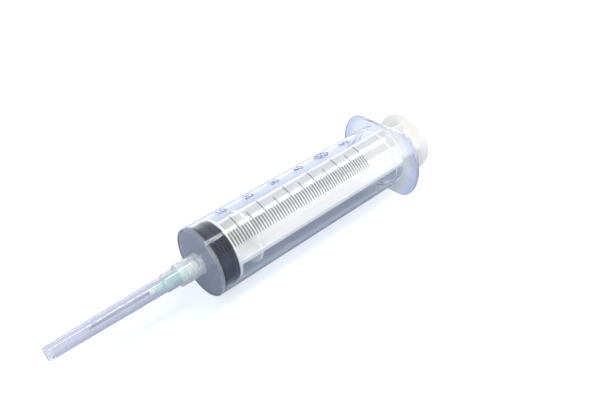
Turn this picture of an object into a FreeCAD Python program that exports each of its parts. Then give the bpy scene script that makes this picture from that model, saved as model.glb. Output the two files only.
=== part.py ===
"""A 60 ml luer lock syringe with a capped needle, lying on a flat of its finger flange.

The syringe's axis runs along X, from the needle (low X) to the thumb disc (high X), and Z is up.
Every piece is drawn in its own frame: X = 0 is the front face of the barrel, and the axis is at Z = 0.
The placement then puts that frame where the flange's lower flat is at Z = 0 and X = 0 is mid-length.
All sizes are in millimetres and degrees.
"""
import FreeCAD, Part
import math
import os
import Sketcher

Vector = FreeCAD.Vector
Rotation = FreeCAD.Rotation

# The driving sizes: name, value and what it is
SIZES = (
    # Barrel
    ("barrel_bore_r", 14.8, "inside radius of the barrel"),
    ("barrel_wall", 1.2, "wall of the barrel's tube"),
    ("barrel_tail", 22.988, "last mark of the scale to the flange's rear face"),
    ("front_wall", 1.9, "thickness of the barrel's front wall"),
    ("front_round", 0.6, "rounding of the front face's rim"),
    ("mouth_flare", 0.5, "bevel of the bore's rear mouth"),
    ("bead_height", 0.35, "height of the ring inside the bore that keeps the stopper in"),
    ("bead_width", 1.6, "width of that ring at its foot"),
    ("bead_inset", 6.0, "rear face to the middle of that ring"),
    # Finger flange
    ("flange_wing", 8.45, "barrel's outside to the flange's round ends"),
    ("flange_rise", 1.6, "barrel's outside to each flat of the flange"),
    ("flange_thick", 2.1, "thickness of the flange"),
    ("flange_corner", 8.5, "rounding of the flange's four corners"),
    ("flange_edge", 0.5, "rounding of the flange's rims"),
    # Male luer tip and its lock collar
    ("tip_r", 1.98, "radius of the tip's end"),
    ("tip_slope", 0.03, "growth of the tip's radius along it, a 6 percent taper"),
    ("tip_length", 12.4, "front face to the tip's end"),
    ("tip_bore_r", 1.0, "radius of the passage through the tip"),
    ("collar_r", 5.0, "outside radius of the collar"),
    ("collar_wall", 1.0, "wall of the collar"),
    ("collar_length", 11.0, "front face to the collar's mouth"),
    ("collar_round", 0.35, "rounding of the collar's mouth"),
    ("window_inset", 1.7, "front face to the collar's two windows"),
    ("window_length", 1.2, "length of a window along the axis"),
    ("window_angle", 52.0, "angle that a window spans"),
    ("window_turn", 36.5, "angle of the first window's middle from the top"),
    # Printed scale
    ("scale_count", 60.0, "number of one millilitre marks"),
    ("zero_offset", 0.22, "front of the stopper, pressed home, to the place of nought on the scale"),
    ("mark_width", 0.36, "width of a printed line"),
    ("ink_height", 0.06, "height of the ink"),
    ("mark_low", 56.5, "angle from the top where every mark starts"),
    ("mark_one", 30.5, "angle where a one millilitre mark ends"),
    ("mark_five", 16.5, "angle where a five millilitre mark ends"),
    ("mark_ten", 8.0, "angle where a ten millilitre mark ends"),
    ("number_turn", -12.5, "angle from the top of the numbers' middle line"),
    ("number_high", 3.5, "height of a number's strokes, middle to middle"),
    ("number_wide", 1.7, "width of a digit's strokes, middle to middle"),
    ("number_gap", 2.5, "step from one digit to the next"),
    ("number_stroke", 0.42, "width of a stroke"),
    ("ring_half_long", 3.6, "half length of the ring round the fifty"),
    ("ring_half_high", 2.9, "half height of the ring round the fifty"),
    # Stopper
    ("front_gap", 0.3, "front wall to the stopper when the plunger is pressed home"),
    ("seal_clear", 0.05, "bore to the stopper's sealing rings"),
    ("stopper_length", 8.1, "length of the stopper"),
    ("stopper_edge", 0.35, "bevel of the stopper's front edge"),
    ("land_depth", 0.5, "sealing rings to the lands between them"),
    ("land_slope", 0.5, "length of the slope from a ring to a land"),
    ("front_ring", 1.0, "width of the front sealing ring"),
    ("rear_ring", 0.9, "width of the rear sealing ring"),
    ("rear_ring_inset", 5.0, "stopper's front to the rear sealing ring"),
    ("stopper_crown", 2.4, "rubber in front of the rod's head"),
    ("stopper_lip", 2.2, "rubber behind the rod's head"),
    # Plunger rod
    ("head_r", 9.0, "radius of the head that snaps into the stopper"),
    ("neck_r", 6.0, "radius of the neck behind the head"),
    ("head_clear", 0.05, "head to the stopper, round about"),
    ("head_play", 0.25, "head to the stopper, along the axis, at each side"),
    ("press_disc_clear", 0.7, "bore to the disc that presses on the stopper"),
    ("press_disc_thick", 1.5, "thickness of that disc"),
    ("press_gap", 0.3, "stopper to that disc"),
    ("web_disc_clear", 2.2, "bore to the disc between the ribs"),
    ("web_disc_thick", 1.2, "thickness of that disc"),
    ("web_disc_inset", 12.6, "press disc's front to that disc's front"),
    ("rib_clear", 1.4, "bore to a rib's edge"),
    ("rib_step", 2.4, "how much nearer to the axis a rib's edge is near the thumb disc"),
    ("rib_thick", 1.7, "thickness of a rib"),
    ("rib_shoulder", 5.5, "length of the slope where the ribs get narrower"),
    ("rod_reach", 15.3, "flange's rear face to the thumb disc, plunger pressed home"),
    ("thumb_r", 15.6, "radius of the thumb disc"),
    ("thumb_thick", 2.0, "thickness of the thumb disc"),
    ("thumb_round", 0.6, "rounding of the thumb disc's rims"),
    # Needle hub
    ("hub_inset", 6.4, "front face to the hub's mouth"),
    ("taper_clear", 0.02, "tip to the hub's socket"),
    ("tip_room", 1.8, "tip's end to the bottom of the hub's socket"),
    ("hub_r", 3.0, "radius of the hub's body"),
    ("hub_floor", 2.6, "bottom of the socket to the end of the hub's body"),
    ("lug_clear", 0.1, "collar to the hub's two lugs"),
    ("lug_thick", 1.1, "thickness of a lug"),
    ("lug_angle", 50.0, "angle that a lug spans"),
    ("hub_core_r", 1.7, "radius of the hub's nose"),
    ("hub_neck", 5.7, "length of the nose behind the body"),
    ("fin_r", 2.55, "axis to a fin's edge, at the body"),
    ("fin_nose_r", 2.2, "axis to a fin's edge, at the nose"),
    ("fin_thick", 0.8, "thickness of a fin"),
    ("fin_short", 0.9, "nose's end to the fins"),
    ("well_r", 1.15, "radius of the glue well in the nose"),
    ("well_depth", 4.2, "depth of the glue well"),
    ("needle_clear", 0.04, "needle to the hub's passage"),
    # Needle and glue
    ("needle_r", 0.41, "outside radius of a 21 gauge needle"),
    ("needle_bore_r", 0.26, "inside radius of the needle"),
    ("needle_out", 28.8, "hub's nose to the needle's point"),
    ("needle_in", 6.6, "hub's nose to the needle's rear end"),
    ("bevel_length", 2.8, "length of the ground bevel"),
    ("glue_clear", 0.03, "glue to the well"),
    ("glue_dome", 1.7, "height of the glue's dome over the nose"),
    ("glue_tip_r", 0.75, "radius of the dome's end"),
    # Needle sheath
    ("sheath_gap", 0.3, "collar's mouth to the sheath's mouth"),
    ("sheath_clear", 0.05, "hub's body to the sheath"),
    ("sheath_wall", 0.9, "wall of the sheath's wide end"),
    ("sheath_over", 0.2, "hub's body to the end of the sheath's wide part"),
    ("sheath_step", 1.0, "length of the slope behind the wide end"),
    ("fin_room", 0.22, "a fin's edge to the sheath's slim part"),
    ("sheath_taper", 0.54, "how much slimmer the closed end is, on the radius"),
    ("sheath_slim_wall", 0.75, "wall of the slim part"),
    ("sheath_spare", 15.7, "needle's point to the inside of the closed end"),
    ("sheath_end", 1.5, "thickness of the closed end"),
    ("sheath_round", 0.9, "rounding of the closed end"),
)

SHEET = "Sizes"
MILLILITRE = 1000.0
LONGER_MARK = 5
NUMBERED_MARK = 10
RINGED_TEN = 5
SAME = 1e-4


class Size:
    """A length or an angle that keeps the formula it comes from, so that a sketch can be bound to it."""

    def __init__(self, formula, value):
        self.formula = formula
        self.value = value

    def joined(self, sign, other, value):
        text = other.formula if isinstance(other, Size) else repr(float(other))
        return Size("(%s %s %s)" % (self.formula, sign, text), value)

    def __add__(self, other):
        return self.joined("+", other, self.value + plain(other))

    def __sub__(self, other):
        return self.joined("-", other, self.value - plain(other))

    def __mul__(self, other):
        return self.joined("*", other, self.value * plain(other))

    def __truediv__(self, other):
        return self.joined("/", other, self.value / plain(other))

    def __neg__(self):
        return Size("(0 - %s)" % self.formula, -self.value)


def plain(number):
    """The plain number in a Size, or the number itself."""
    return number.value if isinstance(number, Size) else float(number)


def nought():
    """A place on the axis or at the front face."""
    return Size("0", 0.0)


doc = FreeCAD.newDocument("syringe")
sheet = doc.addObject("Spreadsheet::Sheet", SHEET)
sheet.Label = SHEET
of = {}
for row, (alias, value, note) in enumerate(SIZES, start=1):
    sheet.set("A%d" % row, note)
    sheet.set("B%d" % row, str(value))
    sheet.setAlias("B%d" % row, alias)
    of[alias] = Size("%s.%s" % (SHEET, alias), value)
doc.recompute()

# Places and sizes that follow from the driving ones, along X from the barrel's front face
ml_step = Size("(%r / pi / %s.barrel_bore_r ^ 2)" % (MILLILITRE, SHEET),
               MILLILITRE / math.pi / of["barrel_bore_r"].value ** 2)
stopper_front = of["front_wall"] + of["front_gap"]
stopper_rear = stopper_front + of["stopper_length"]
scale_zero = stopper_front + of["zero_offset"]

barrel_r = of["barrel_bore_r"] + of["barrel_wall"]
barrel_length = scale_zero + ml_step * of["scale_count"] + of["barrel_tail"]
flange_front = barrel_length - of["flange_thick"]
flange_r = barrel_r + of["flange_wing"]
flange_half = barrel_r + of["flange_rise"]
bead_middle = barrel_length - of["bead_inset"]
tip_end = -of["tip_length"]
tip_root_r = of["tip_r"] + of["tip_slope"] * of["tip_length"]
collar_end = -of["collar_length"]
collar_bore_r = of["collar_r"] - of["collar_wall"]

stopper_r = of["barrel_bore_r"] - of["seal_clear"]
land_r = stopper_r - of["land_depth"]
cavity_front = stopper_front + of["stopper_crown"]
cavity_rear = stopper_rear - of["stopper_lip"]
cavity_r = of["head_r"] + of["head_clear"]
cavity_mouth_r = of["neck_r"] + of["head_clear"]

head_front = cavity_front + of["head_play"]
head_rear = cavity_rear - of["head_play"]
press_front = stopper_rear + of["press_gap"]
press_rear = press_front + of["press_disc_thick"]
press_disc_r = of["barrel_bore_r"] - of["press_disc_clear"]
web_front = press_front + of["web_disc_inset"]
web_disc_r = of["barrel_bore_r"] - of["web_disc_clear"]
rib_r = of["barrel_bore_r"] - of["rib_clear"]
rib_rear_r = rib_r - of["rib_step"]
shoulder_front = barrel_length
shoulder_rear = shoulder_front + of["rib_shoulder"]
thumb_front = barrel_length + of["rod_reach"]
thumb_rear = thumb_front + of["thumb_thick"]

hub_mouth = -of["hub_inset"]
lug_rear = hub_mouth - of["lug_thick"]
lug_r = collar_bore_r - of["lug_clear"]
socket_end = tip_end - of["tip_room"]
socket_mouth_r = of["tip_r"] + of["tip_slope"] * (of["tip_length"] - of["hub_inset"]) + of["taper_clear"]
socket_end_r = of["tip_r"] - of["tip_slope"] * of["tip_room"] + of["taper_clear"]
hub_shoulder = socket_end - of["hub_floor"]
hub_nose = hub_shoulder - of["hub_neck"]
hub_passage_r = of["needle_r"] + of["needle_clear"]
well_end = hub_nose + of["well_depth"]
needle_point = hub_nose - of["needle_out"]
needle_rear = hub_nose + of["needle_in"]
glue_r = of["well_r"] - of["glue_clear"]

sheath_mouth = collar_end - of["sheath_gap"]
sheath_wide_end = hub_shoulder - of["sheath_over"]
sheath_slim = sheath_wide_end - of["sheath_step"]
sheath_bore_r = of["hub_r"] + of["sheath_clear"]
sheath_wide_r = sheath_bore_r + of["sheath_wall"]
sheath_slim_bore_r = of["fin_r"] + of["fin_room"]
sheath_slim_r = sheath_slim_bore_r + of["sheath_slim_wall"]
sheath_tip_r = sheath_slim_r - of["sheath_taper"]
sheath_tip_bore_r = sheath_slim_bore_r - of["sheath_taper"]
sheath_bore_end = needle_point - of["sheath_spare"]
sheath_tip = sheath_bore_end - of["sheath_end"]

middle = (sheath_tip + thumb_rear) / 2.0
axis_height = flange_half

subparts = []


def seat(item, label):
    """Names a finished piece and puts its frame where the syringe lies on its flange."""
    item.Label = label
    item.Placement = FreeCAD.Placement(Vector(-middle.value, 0, axis_height.value), Rotation())
    item.setExpression(".Placement.Base.x", (-middle).formula)
    item.setExpression(".Placement.Base.z", axis_height.formula)
    subparts.append(item)
    return item


def new_body(name):
    return doc.addObject("PartDesign::Body", name + "_body")


def plane_of(body, role):
    """One of a body's own origin planes."""
    for feature in body.Origin.OriginFeatures:
        if feature.Role == role:
            return feature
    raise ValueError("no origin plane named " + role)


def sketch_on(body, name, role, offset=None):
    sketch = body.newObject("Sketcher::SketchObject", name)
    sketch.AttachmentSupport = [(plane_of(body, role), "")]
    sketch.MapMode = "FlatFace"
    if offset is not None:
        sketch.AttachmentOffset = offset
    return sketch


def outline(sketch, corners):
    """Adds a closed outline of straight sides, whose corners are bound to the sheet.

    A corner at zero is fixed on the sketch's own axis, and each other place is a driven distance.
    """
    start = sketch.GeometryCount
    count = len(corners)
    for index in range(count):
        here = corners[index]
        there = corners[(index + 1) % count]
        first = Vector(here[0].value, here[1].value, 0)
        second = Vector(there[0].value, there[1].value, 0)
        sketch.addGeometry(Part.LineSegment(first, second), False)
    for index in range(count):
        after = start + (index + 1) % count
        sketch.addConstraint(Sketcher.Constraint("Coincident", start + index, 2, after, 1))
    for index, (along, across) in enumerate(corners):
        for kind, size in (("DistanceX", along), ("DistanceY", across)):
            place = sketch.addConstraint(Sketcher.Constraint(kind, -1, 1, start + index, 1, size.value))
            if size.formula != "0":
                sketch.setExpression("Constraints[%d]" % place, size.formula)
    return sketch


def turned(body, name, corners):
    """A solid of revolution about the X axis, from its half section as (place, radius) corners."""
    sketch = outline(sketch_on(body, name + "_section", "XZ_Plane"), corners)
    feature = body.newObject("PartDesign::Revolution", name)
    feature.Profile = sketch
    feature.ReferenceAxis = (sketch, ["H_Axis"])
    feature.Angle = 360.0
    sketch.Visibility = False
    doc.recompute()
    return feature


def slab(body, name, role, corners, thickness):
    """A flat plate that lies evenly on both sides of one of the body's planes."""
    sketch = outline(sketch_on(body, name + "_outline", role), corners)
    feature = body.newObject("PartDesign::Pad", name)
    feature.Profile = sketch
    feature.Midplane = True
    feature.Length = thickness.value
    feature.setExpression("Length", thickness.formula)
    sketch.Visibility = False
    doc.recompute()
    return feature


def rounded(body, name, base, radius, wanted):
    """Rounds the edges of a feature that the test picks."""
    names = ["Edge%d" % (n + 1) for n, edge in enumerate(base.Shape.Edges) if wanted(edge)]
    if not names:
        raise ValueError("no edges to round for " + name)
    feature = body.newObject("PartDesign::Fillet", name)
    feature.Base = (base, names)
    feature.Radius = radius.value
    feature.setExpression("Radius", radius.formula)
    doc.recompute()
    return feature


def is_hoop(edge, place, radius):
    """Whether an edge is an arc about the X axis at this place, with this radius."""
    curve = edge.Curve
    if not isinstance(curve, Part.Circle):
        return False
    near = abs(curve.Center.x - place.value) < SAME
    centred = abs(curve.Center.y) + abs(curve.Center.z) < SAME
    return near and centred and abs(curve.Radius - radius.value) < SAME


def lies_at(edge, place):
    """Whether all of an edge lies in the plane across the axis at this place."""
    box = edge.BoundBox
    return abs(box.XMin - place.value) < SAME and abs(box.XMax - place.value) < SAME


# Barrel: tube, front wall, luer tip, lock collar and finger flange, moulded as one piece
def make_barrel():
    body = new_body("barrel")
    zero = nought()
    half_bead = of["bead_width"] / 2.0
    section = [
        (tip_end, of["tip_bore_r"]),
        (tip_end, of["tip_r"]),
        (zero, tip_root_r),
        (zero, collar_bore_r),
        (collar_end, collar_bore_r),
        (collar_end, of["collar_r"]),
        (zero, of["collar_r"]),
        (zero, barrel_r),
        (flange_front, barrel_r),
        (flange_front, flange_r),
        (barrel_length, flange_r),
        (barrel_length, of["barrel_bore_r"] + of["mouth_flare"]),
        (barrel_length - of["mouth_flare"], of["barrel_bore_r"]),
        (bead_middle + half_bead, of["barrel_bore_r"]),
        (bead_middle, of["barrel_bore_r"] - of["bead_height"]),
        (bead_middle - half_bead, of["barrel_bore_r"]),
        (of["front_wall"], of["barrel_bore_r"]),
        (of["front_wall"], of["tip_bore_r"]),
    ]
    base = turned(body, "barrel_moulding", section)

    # The flange's two flats, cut from its disc
    sketch = sketch_on(body, "flange_flats_outline", "YZ_Plane")
    beyond = flange_r + of["flange_edge"]
    for low, high in ((flange_half, beyond), (-beyond, -flange_half)):
        outline(sketch, [(-beyond, low), (beyond, low), (beyond, high), (-beyond, high)])
    flats = body.newObject("PartDesign::Pocket", "flange_flats")
    flats.Profile = sketch
    flats.Type = "ThroughAll"
    flats.Reversed = True
    sketch.Visibility = False
    doc.recompute()
    if flats.Shape.Volume >= base.Shape.Volume:
        raise ValueError("the flange's flats cut nothing")

    # The collar's two windows, one behind the other side
    feature = flats
    reach = of["lug_clear"]
    window_front = -of["window_inset"]
    window_rear = window_front - of["window_length"]
    for index, extra in enumerate((0.0, 180.0)):
        turn = FreeCAD.Placement(Vector(), Rotation(Vector(1, 0, 0), of["window_turn"].value + extra))
        sketch = sketch_on(body, "window_outline_%d" % (index + 1), "XZ_Plane", turn)
        outline(sketch, [(window_rear, collar_bore_r - reach), (window_front, collar_bore_r - reach),
                         (window_front, of["collar_r"] + reach), (window_rear, of["collar_r"] + reach)])
        groove = body.newObject("PartDesign::Groove", "window_%d" % (index + 1))
        groove.Profile = sketch
        groove.ReferenceAxis = (sketch, ["H_Axis"])
        groove.Midplane = True
        groove.Angle = of["window_angle"].value
        groove.setExpression("Angle", of["window_angle"].formula)
        sketch.Visibility = False
        doc.recompute()
        if groove.Shape.Volume >= feature.Shape.Volume:
            raise ValueError("a window cuts nothing")
        feature = groove

    def corner_edge(edge):
        box = edge.BoundBox
        along = abs(box.XLength - of["flange_thick"].value) < SAME and box.YLength + box.ZLength < SAME
        return along and abs(abs(box.ZMin) - flange_half.value) < SAME

    feature = rounded(body, "flange_corners", feature, of["flange_corner"], corner_edge)

    def flange_rim(edge):
        box = edge.BoundBox
        reach = max(-box.YMin, -box.ZMin, box.YMax, box.ZMax)
        outside = reach > (barrel_r + of["flange_edge"]).value
        return outside and (lies_at(edge, flange_front) or lies_at(edge, barrel_length))

    feature = rounded(body, "flange_rims", feature, of["flange_edge"], flange_rim)
    feature = rounded(body, "front_rim", feature, of["front_round"], lambda edge: is_hoop(edge, zero, barrel_r))
    rounded(body, "collar_mouth", feature, of["collar_round"],
            lambda edge: is_hoop(edge, collar_end, of["collar_r"]))
    return seat(body, "barrel")


# Printed scale: thin bands of ink on the barrel, one for each millilitre
def make_scale_marks():
    on_axis = Rotation(Vector(0, 0, 1), Vector(0, -1, 0), Vector(1, 0, 0), "ZXY")
    wedges = []
    for number in range(1, int(of["scale_count"].value) + 1):
        if number % NUMBERED_MARK == 0:
            last = of["mark_ten"]
        elif number % LONGER_MARK == 0:
            last = of["mark_five"]
        else:
            last = of["mark_one"]
        wedge = doc.addObject("Part::Cylinder", "mark_%d" % number)
        wedge.setExpression("Radius", (barrel_r + of["ink_height"]).formula)
        wedge.setExpression("Height", of["mark_width"].formula)
        wedge.setExpression("Angle", (of["mark_low"] - last).formula)
        place = scale_zero + ml_step * number - of["mark_width"] / 2.0
        wedge.Placement = FreeCAD.Placement(Vector(place.value, 0, 0),
                                            Rotation(Vector(1, 0, 0), last.value) * on_axis)
        wedge.setExpression(".Placement.Base.x", place.formula)
        wedges.append(wedge)
    group = doc.addObject("Part::Compound", "mark_wedges")
    group.Links = wedges
    core = doc.addObject("Part::Cylinder", "mark_core")
    core.setExpression("Radius", barrel_r.formula)
    core.setExpression("Height", barrel_length.formula)
    core.Placement = FreeCAD.Placement(Vector(), on_axis)
    marks = doc.addObject("Part::Cut", "scale_marks")
    marks.Base = group
    marks.Tool = core
    return seat(marks, "scale_marks")


def disc(middle_x, middle_y, radius):
    return Part.Face(Part.Wire([Part.makeCircle(radius, Vector(middle_x, middle_y, 0))]))


def straight(first, last, half):
    """A straight stroke with round ends, as flat faces."""
    start = Vector(first[0], first[1], 0)
    end = Vector(last[0], last[1], 0)
    run = (end - start).normalize()
    side = Vector(-run.y, run.x, 0) * half
    band = Part.Face(Part.makePolygon([start + side, end + side, end - side, start - side, start + side]))
    return [band, disc(start.x, start.y, half), disc(end.x, end.y, half)]


def bowed(middle_x, middle_y, radius, first, last, half):
    """A round stroke with round ends, as flat faces, turning to the left from one angle to the other."""
    centre = Vector(middle_x, middle_y, 0)
    up = Vector(0, 0, 1)
    outer = Part.makeCircle(radius + half, centre, up, first, last)
    inner = Part.makeCircle(radius - half, centre, up, first, last)
    ends = []
    caps = []
    for angle in (first, last):
        ray = Vector(math.cos(math.radians(angle)), math.sin(math.radians(angle)), 0)
        ends.append(Part.makeLine(centre + ray * (radius - half), centre + ray * (radius + half)))
        tip = centre + ray * radius
        caps.append(disc(tip.x, tip.y, half))
    band = Part.Face(Part.Wire(Part.__sortEdges__([outer, ends[1], inner, ends[0]])))
    return [band] + caps


def digit(number, left, foot, wide, high, half):
    """The strokes of a digit from 0 to 6 whose box has its lower left corner at left, foot.

    The fractions and angles are those of a plain drafting hand, as parts of the box's width and height.
    """
    bowl = wide / 2.0
    mid = left + bowl
    right = left + wide
    top = foot + high
    if number == 0:
        return (bowed(mid, foot + bowl, bowl, 180, 360, half) + bowed(mid, top - bowl, bowl, 0, 180, half)
                + straight((left, foot + bowl), (left, top - bowl), half)
                + straight((right, foot + bowl), (right, top - bowl), half))
    if number == 1:
        return (straight((mid, foot), (mid, top), half)
                + straight((mid, top), (left + 0.1 * wide, top - 0.3 * wide), half))
    if number == 2:
        turn = math.radians(-35)
        join = (mid + bowl * math.cos(turn), top - bowl + bowl * math.sin(turn))
        return (bowed(mid, top - bowl, bowl, -35, 170, half) + straight(join, (left, foot), half)
                + straight((left, foot), (right, foot), half))
    if number == 3:
        upper = 0.235 * high
        lower = 0.265 * high
        return (bowed(mid, top - upper, upper, -90, 160, half)
                + bowed(mid, foot + lower, lower, -160, 90, half))
    if number == 4:
        stem = left + 0.72 * wide
        bar = foot + 0.3 * high
        return (straight((stem, foot), (stem, top), half) + straight((stem, top), (left, bar), half)
                + straight((left, bar), (right, bar), half))
    if number == 5:
        belly = 0.3 * high
        turn = math.radians(140)
        join = (right - belly + belly * math.cos(turn), foot + belly + belly * math.sin(turn))
        return (bowed(right - belly, foot + belly, belly, -145, 140, half)
                + straight(join, (left + 0.12 * wide, top), half)
                + straight((left + 0.12 * wide, top), (right, top), half))
    return (bowed(mid, foot + bowl, bowl, 0, 180, half) + bowed(mid, foot + bowl, bowl, 180, 360, half)
            + straight((left, foot + bowl), (left, top - bowl), half)
            + bowed(mid, top - bowl, bowl, 35, 180, half))


def ink(faces, place):
    """One printed sign: its strokes raised through the barrel's skin, joined and trimmed to the ink."""
    reach = barrel_r.value
    rise = of["ink_height"].value
    posts = []
    below = of["barrel_wall"].value
    for face in faces:
        face.translate(Vector(place, 0, reach - below))
        posts.append(face.extrude(Vector(0, 0, 2.0 * below)))
    block = posts[0].multiFuse(posts[1:]) if len(posts) > 1 else posts[0]
    start = Vector(place - reach / 2.0, 0, 0)
    along = Vector(1, 0, 0)
    skin = Part.makeCylinder(reach + rise, reach, start, along).cut(Part.makeCylinder(reach, reach, start, along))
    sign = block.common(skin).removeSplitter()
    sign.rotate(Vector(), along, of["number_turn"].value)
    return sign.Solids


# Printed numbers: strokes laid on the barrel beside every tenth mark, with a ring round the fifty
def make_scale_numbers():
    wide = of["number_wide"].value
    high = of["number_high"].value
    half = of["number_stroke"].value / 2.0
    signs = []
    for ten in range(1, int(of["scale_count"].value) // NUMBERED_MARK + 1):
        place = (scale_zero + ml_step * (NUMBERED_MARK * ten)).value
        for side, number in ((-1, ten), (1, 0)):
            left = side * of["number_gap"].value / 2.0 - wide / 2.0
            signs.extend(ink(digit(number, left, -high / 2.0, wide, high, half), place))
        if ten == RINGED_TEN:
            signs.extend(ink([oval(half).cut(oval(-half))], place))
    numbers = doc.addObject("Part::Feature", "scale_numbers")
    numbers.Shape = Part.Compound(signs)
    return seat(numbers, "scale_numbers")


def oval(extra):
    """The ring's oval, made larger all round by extra."""
    long_half = of["ring_half_long"].value + extra
    high_half = of["ring_half_high"].value + extra
    curve = Part.Ellipse(Vector(), long_half, high_half)
    return Part.Face(Part.Wire([curve.toShape()]))


# Stopper: black rubber with two sealing rings, hollow at the rear for the rod's head
def make_stopper():
    body = new_body("stopper")
    zero = nought()
    edge = of["stopper_edge"]
    slope = of["land_slope"]
    front_ring_end = stopper_front + of["front_ring"]
    rear_ring_front = stopper_front + of["rear_ring_inset"]
    rear_ring_end = rear_ring_front + of["rear_ring"]
    turned(body, "stopper_moulding", [
        (stopper_front, zero),
        (stopper_front, stopper_r - edge),
        (stopper_front + edge, stopper_r),
        (front_ring_end, stopper_r),
        (front_ring_end + slope, land_r),
        (rear_ring_front - slope, land_r),
        (rear_ring_front, stopper_r),
        (rear_ring_end, stopper_r),
        (rear_ring_end + slope, land_r),
        (stopper_rear, land_r),
        (stopper_rear, cavity_mouth_r),
        (cavity_rear, cavity_mouth_r),
        (cavity_rear, cavity_r),
        (cavity_front, cavity_r),
        (cavity_front, zero),
    ])
    return seat(body, "stopper")


# Plunger rod: snap head, press disc, crossed ribs and thumb disc, moulded as one piece
def make_plunger_rod():
    body = new_body("plunger_rod")
    zero = nought()
    core_r = of["rib_thick"]
    turned(body, "rod_discs", [
        (head_front, zero),
        (head_front, of["head_r"]),
        (head_rear, of["head_r"]),
        (head_rear, of["neck_r"]),
        (press_front, of["neck_r"]),
        (press_front, press_disc_r),
        (press_rear, press_disc_r),
        (press_rear, core_r),
        (thumb_front, core_r),
        (thumb_front, of["thumb_r"]),
        (thumb_rear, of["thumb_r"]),
        (thumb_rear, zero),
    ])
    ribs = [
        (press_rear, rib_r),
        (shoulder_front, rib_r),
        (shoulder_rear, rib_rear_r),
        (thumb_front, rib_rear_r),
        (thumb_front, -rib_rear_r),
        (shoulder_rear, -rib_rear_r),
        (shoulder_front, -rib_r),
        (press_rear, -rib_r),
    ]
    slab(body, "upright_ribs", "XZ_Plane", ribs, of["rib_thick"])
    slab(body, "level_ribs", "XY_Plane", ribs, of["rib_thick"])
    feature = turned(body, "web_disc", [
        (web_front, zero),
        (web_front, web_disc_r),
        (web_front + of["web_disc_thick"], web_disc_r),
        (web_front + of["web_disc_thick"], zero),
    ])
    rounded(body, "thumb_rims", feature, of["thumb_round"],
            lambda edge: is_hoop(edge, thumb_front, of["thumb_r"]) or is_hoop(edge, thumb_rear, of["thumb_r"]))
    return seat(body, "plunger_rod")


# Needle hub: socket for the luer tip, two lugs for the collar's thread, and four fins
def make_needle_hub():
    body = new_body("needle_hub")
    turned(body, "hub_moulding", [
        (hub_mouth, socket_mouth_r),
        (hub_mouth, of["hub_r"]),
        (hub_shoulder, of["hub_r"]),
        (hub_shoulder, of["hub_core_r"]),
        (hub_nose, of["hub_core_r"]),
        (hub_nose, of["well_r"]),
        (well_end, of["well_r"]),
        (well_end, hub_passage_r),
        (socket_end, hub_passage_r),
        (socket_end, socket_end_r),
    ])
    fin_end = hub_nose + of["fin_short"]
    root = (of["hub_core_r"] + of["well_r"]) / 2.0
    feature = None
    for role in ("XZ_Plane", "XY_Plane"):
        for side in (1, -1):
            edge_low = of["fin_r"] if side > 0 else -of["fin_r"]
            edge_end = of["fin_nose_r"] if side > 0 else -of["fin_nose_r"]
            foot = root if side > 0 else -root
            feature = slab(body, "fin_%s_%s" % (role[:2], "up" if side > 0 else "down"), role, [
                (hub_shoulder, foot),
                (hub_shoulder, edge_low),
                (fin_end, edge_end),
                (fin_end, foot),
            ], of["fin_thick"])
    lug_foot = (socket_mouth_r + of["hub_r"]) / 2.0
    for index, extra in enumerate((0.0, 180.0)):
        turn = FreeCAD.Placement(Vector(), Rotation(Vector(1, 0, 0), extra))
        sketch = sketch_on(body, "lug_outline_%d" % (index + 1), "XZ_Plane", turn)
        outline(sketch, [(lug_rear, lug_foot), (hub_mouth, lug_foot), (hub_mouth, lug_r), (lug_rear, lug_r)])
        lug = body.newObject("PartDesign::Revolution", "lug_%d" % (index + 1))
        lug.Profile = sketch
        lug.ReferenceAxis = (sketch, ["H_Axis"])
        lug.Midplane = True
        lug.Angle = of["lug_angle"].value
        lug.setExpression("Angle", of["lug_angle"].formula)
        sketch.Visibility = False
        doc.recompute()
    return seat(body, "needle_hub")


# Glue: the plug that holds the needle in the hub's nose, with a dome round the needle
def make_hub_glue():
    body = new_body("hub_glue")
    turned(body, "glue_plug", [
        (well_end - of["glue_clear"], of["needle_r"]),
        (well_end - of["glue_clear"], glue_r),
        (hub_nose, glue_r),
        (hub_nose - of["glue_dome"] / 2.0, (glue_r + of["glue_tip_r"]) / 2.0),
        (hub_nose - of["glue_dome"], of["glue_tip_r"]),
        (hub_nose - of["glue_dome"], of["needle_r"]),
    ])
    return seat(body, "hub_glue")


# Needle: a steel tube with a ground bevel at its point
def make_needle():
    body = new_body("needle_tube")
    base = turned(body, "needle_drawn", [
        (needle_point, of["needle_bore_r"]),
        (needle_point, of["needle_r"]),
        (needle_rear, of["needle_r"]),
        (needle_rear, of["needle_bore_r"]),
    ])
    over = of["needle_r"] * 2.0
    sketch = outline(sketch_on(body, "bevel_outline", "XZ_Plane"), [
        (needle_point - over, -of["needle_r"] - over * of["needle_r"] * 2.0 / of["bevel_length"]),
        (needle_point + of["bevel_length"], of["needle_r"]),
        (needle_point + of["bevel_length"], over),
        (needle_point - over, over),
    ])
    bevel = body.newObject("PartDesign::Pocket", "needle_bevel")
    bevel.Profile = sketch
    bevel.Midplane = True
    bevel.Length = (over * 2.0).value
    bevel.setExpression("Length", (over * 2.0).formula)
    sketch.Visibility = False
    doc.recompute()
    if bevel.Shape.Volume >= base.Shape.Volume:
        raise ValueError("the needle's bevel cuts nothing")
    return seat(body, "needle_tube")


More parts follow.
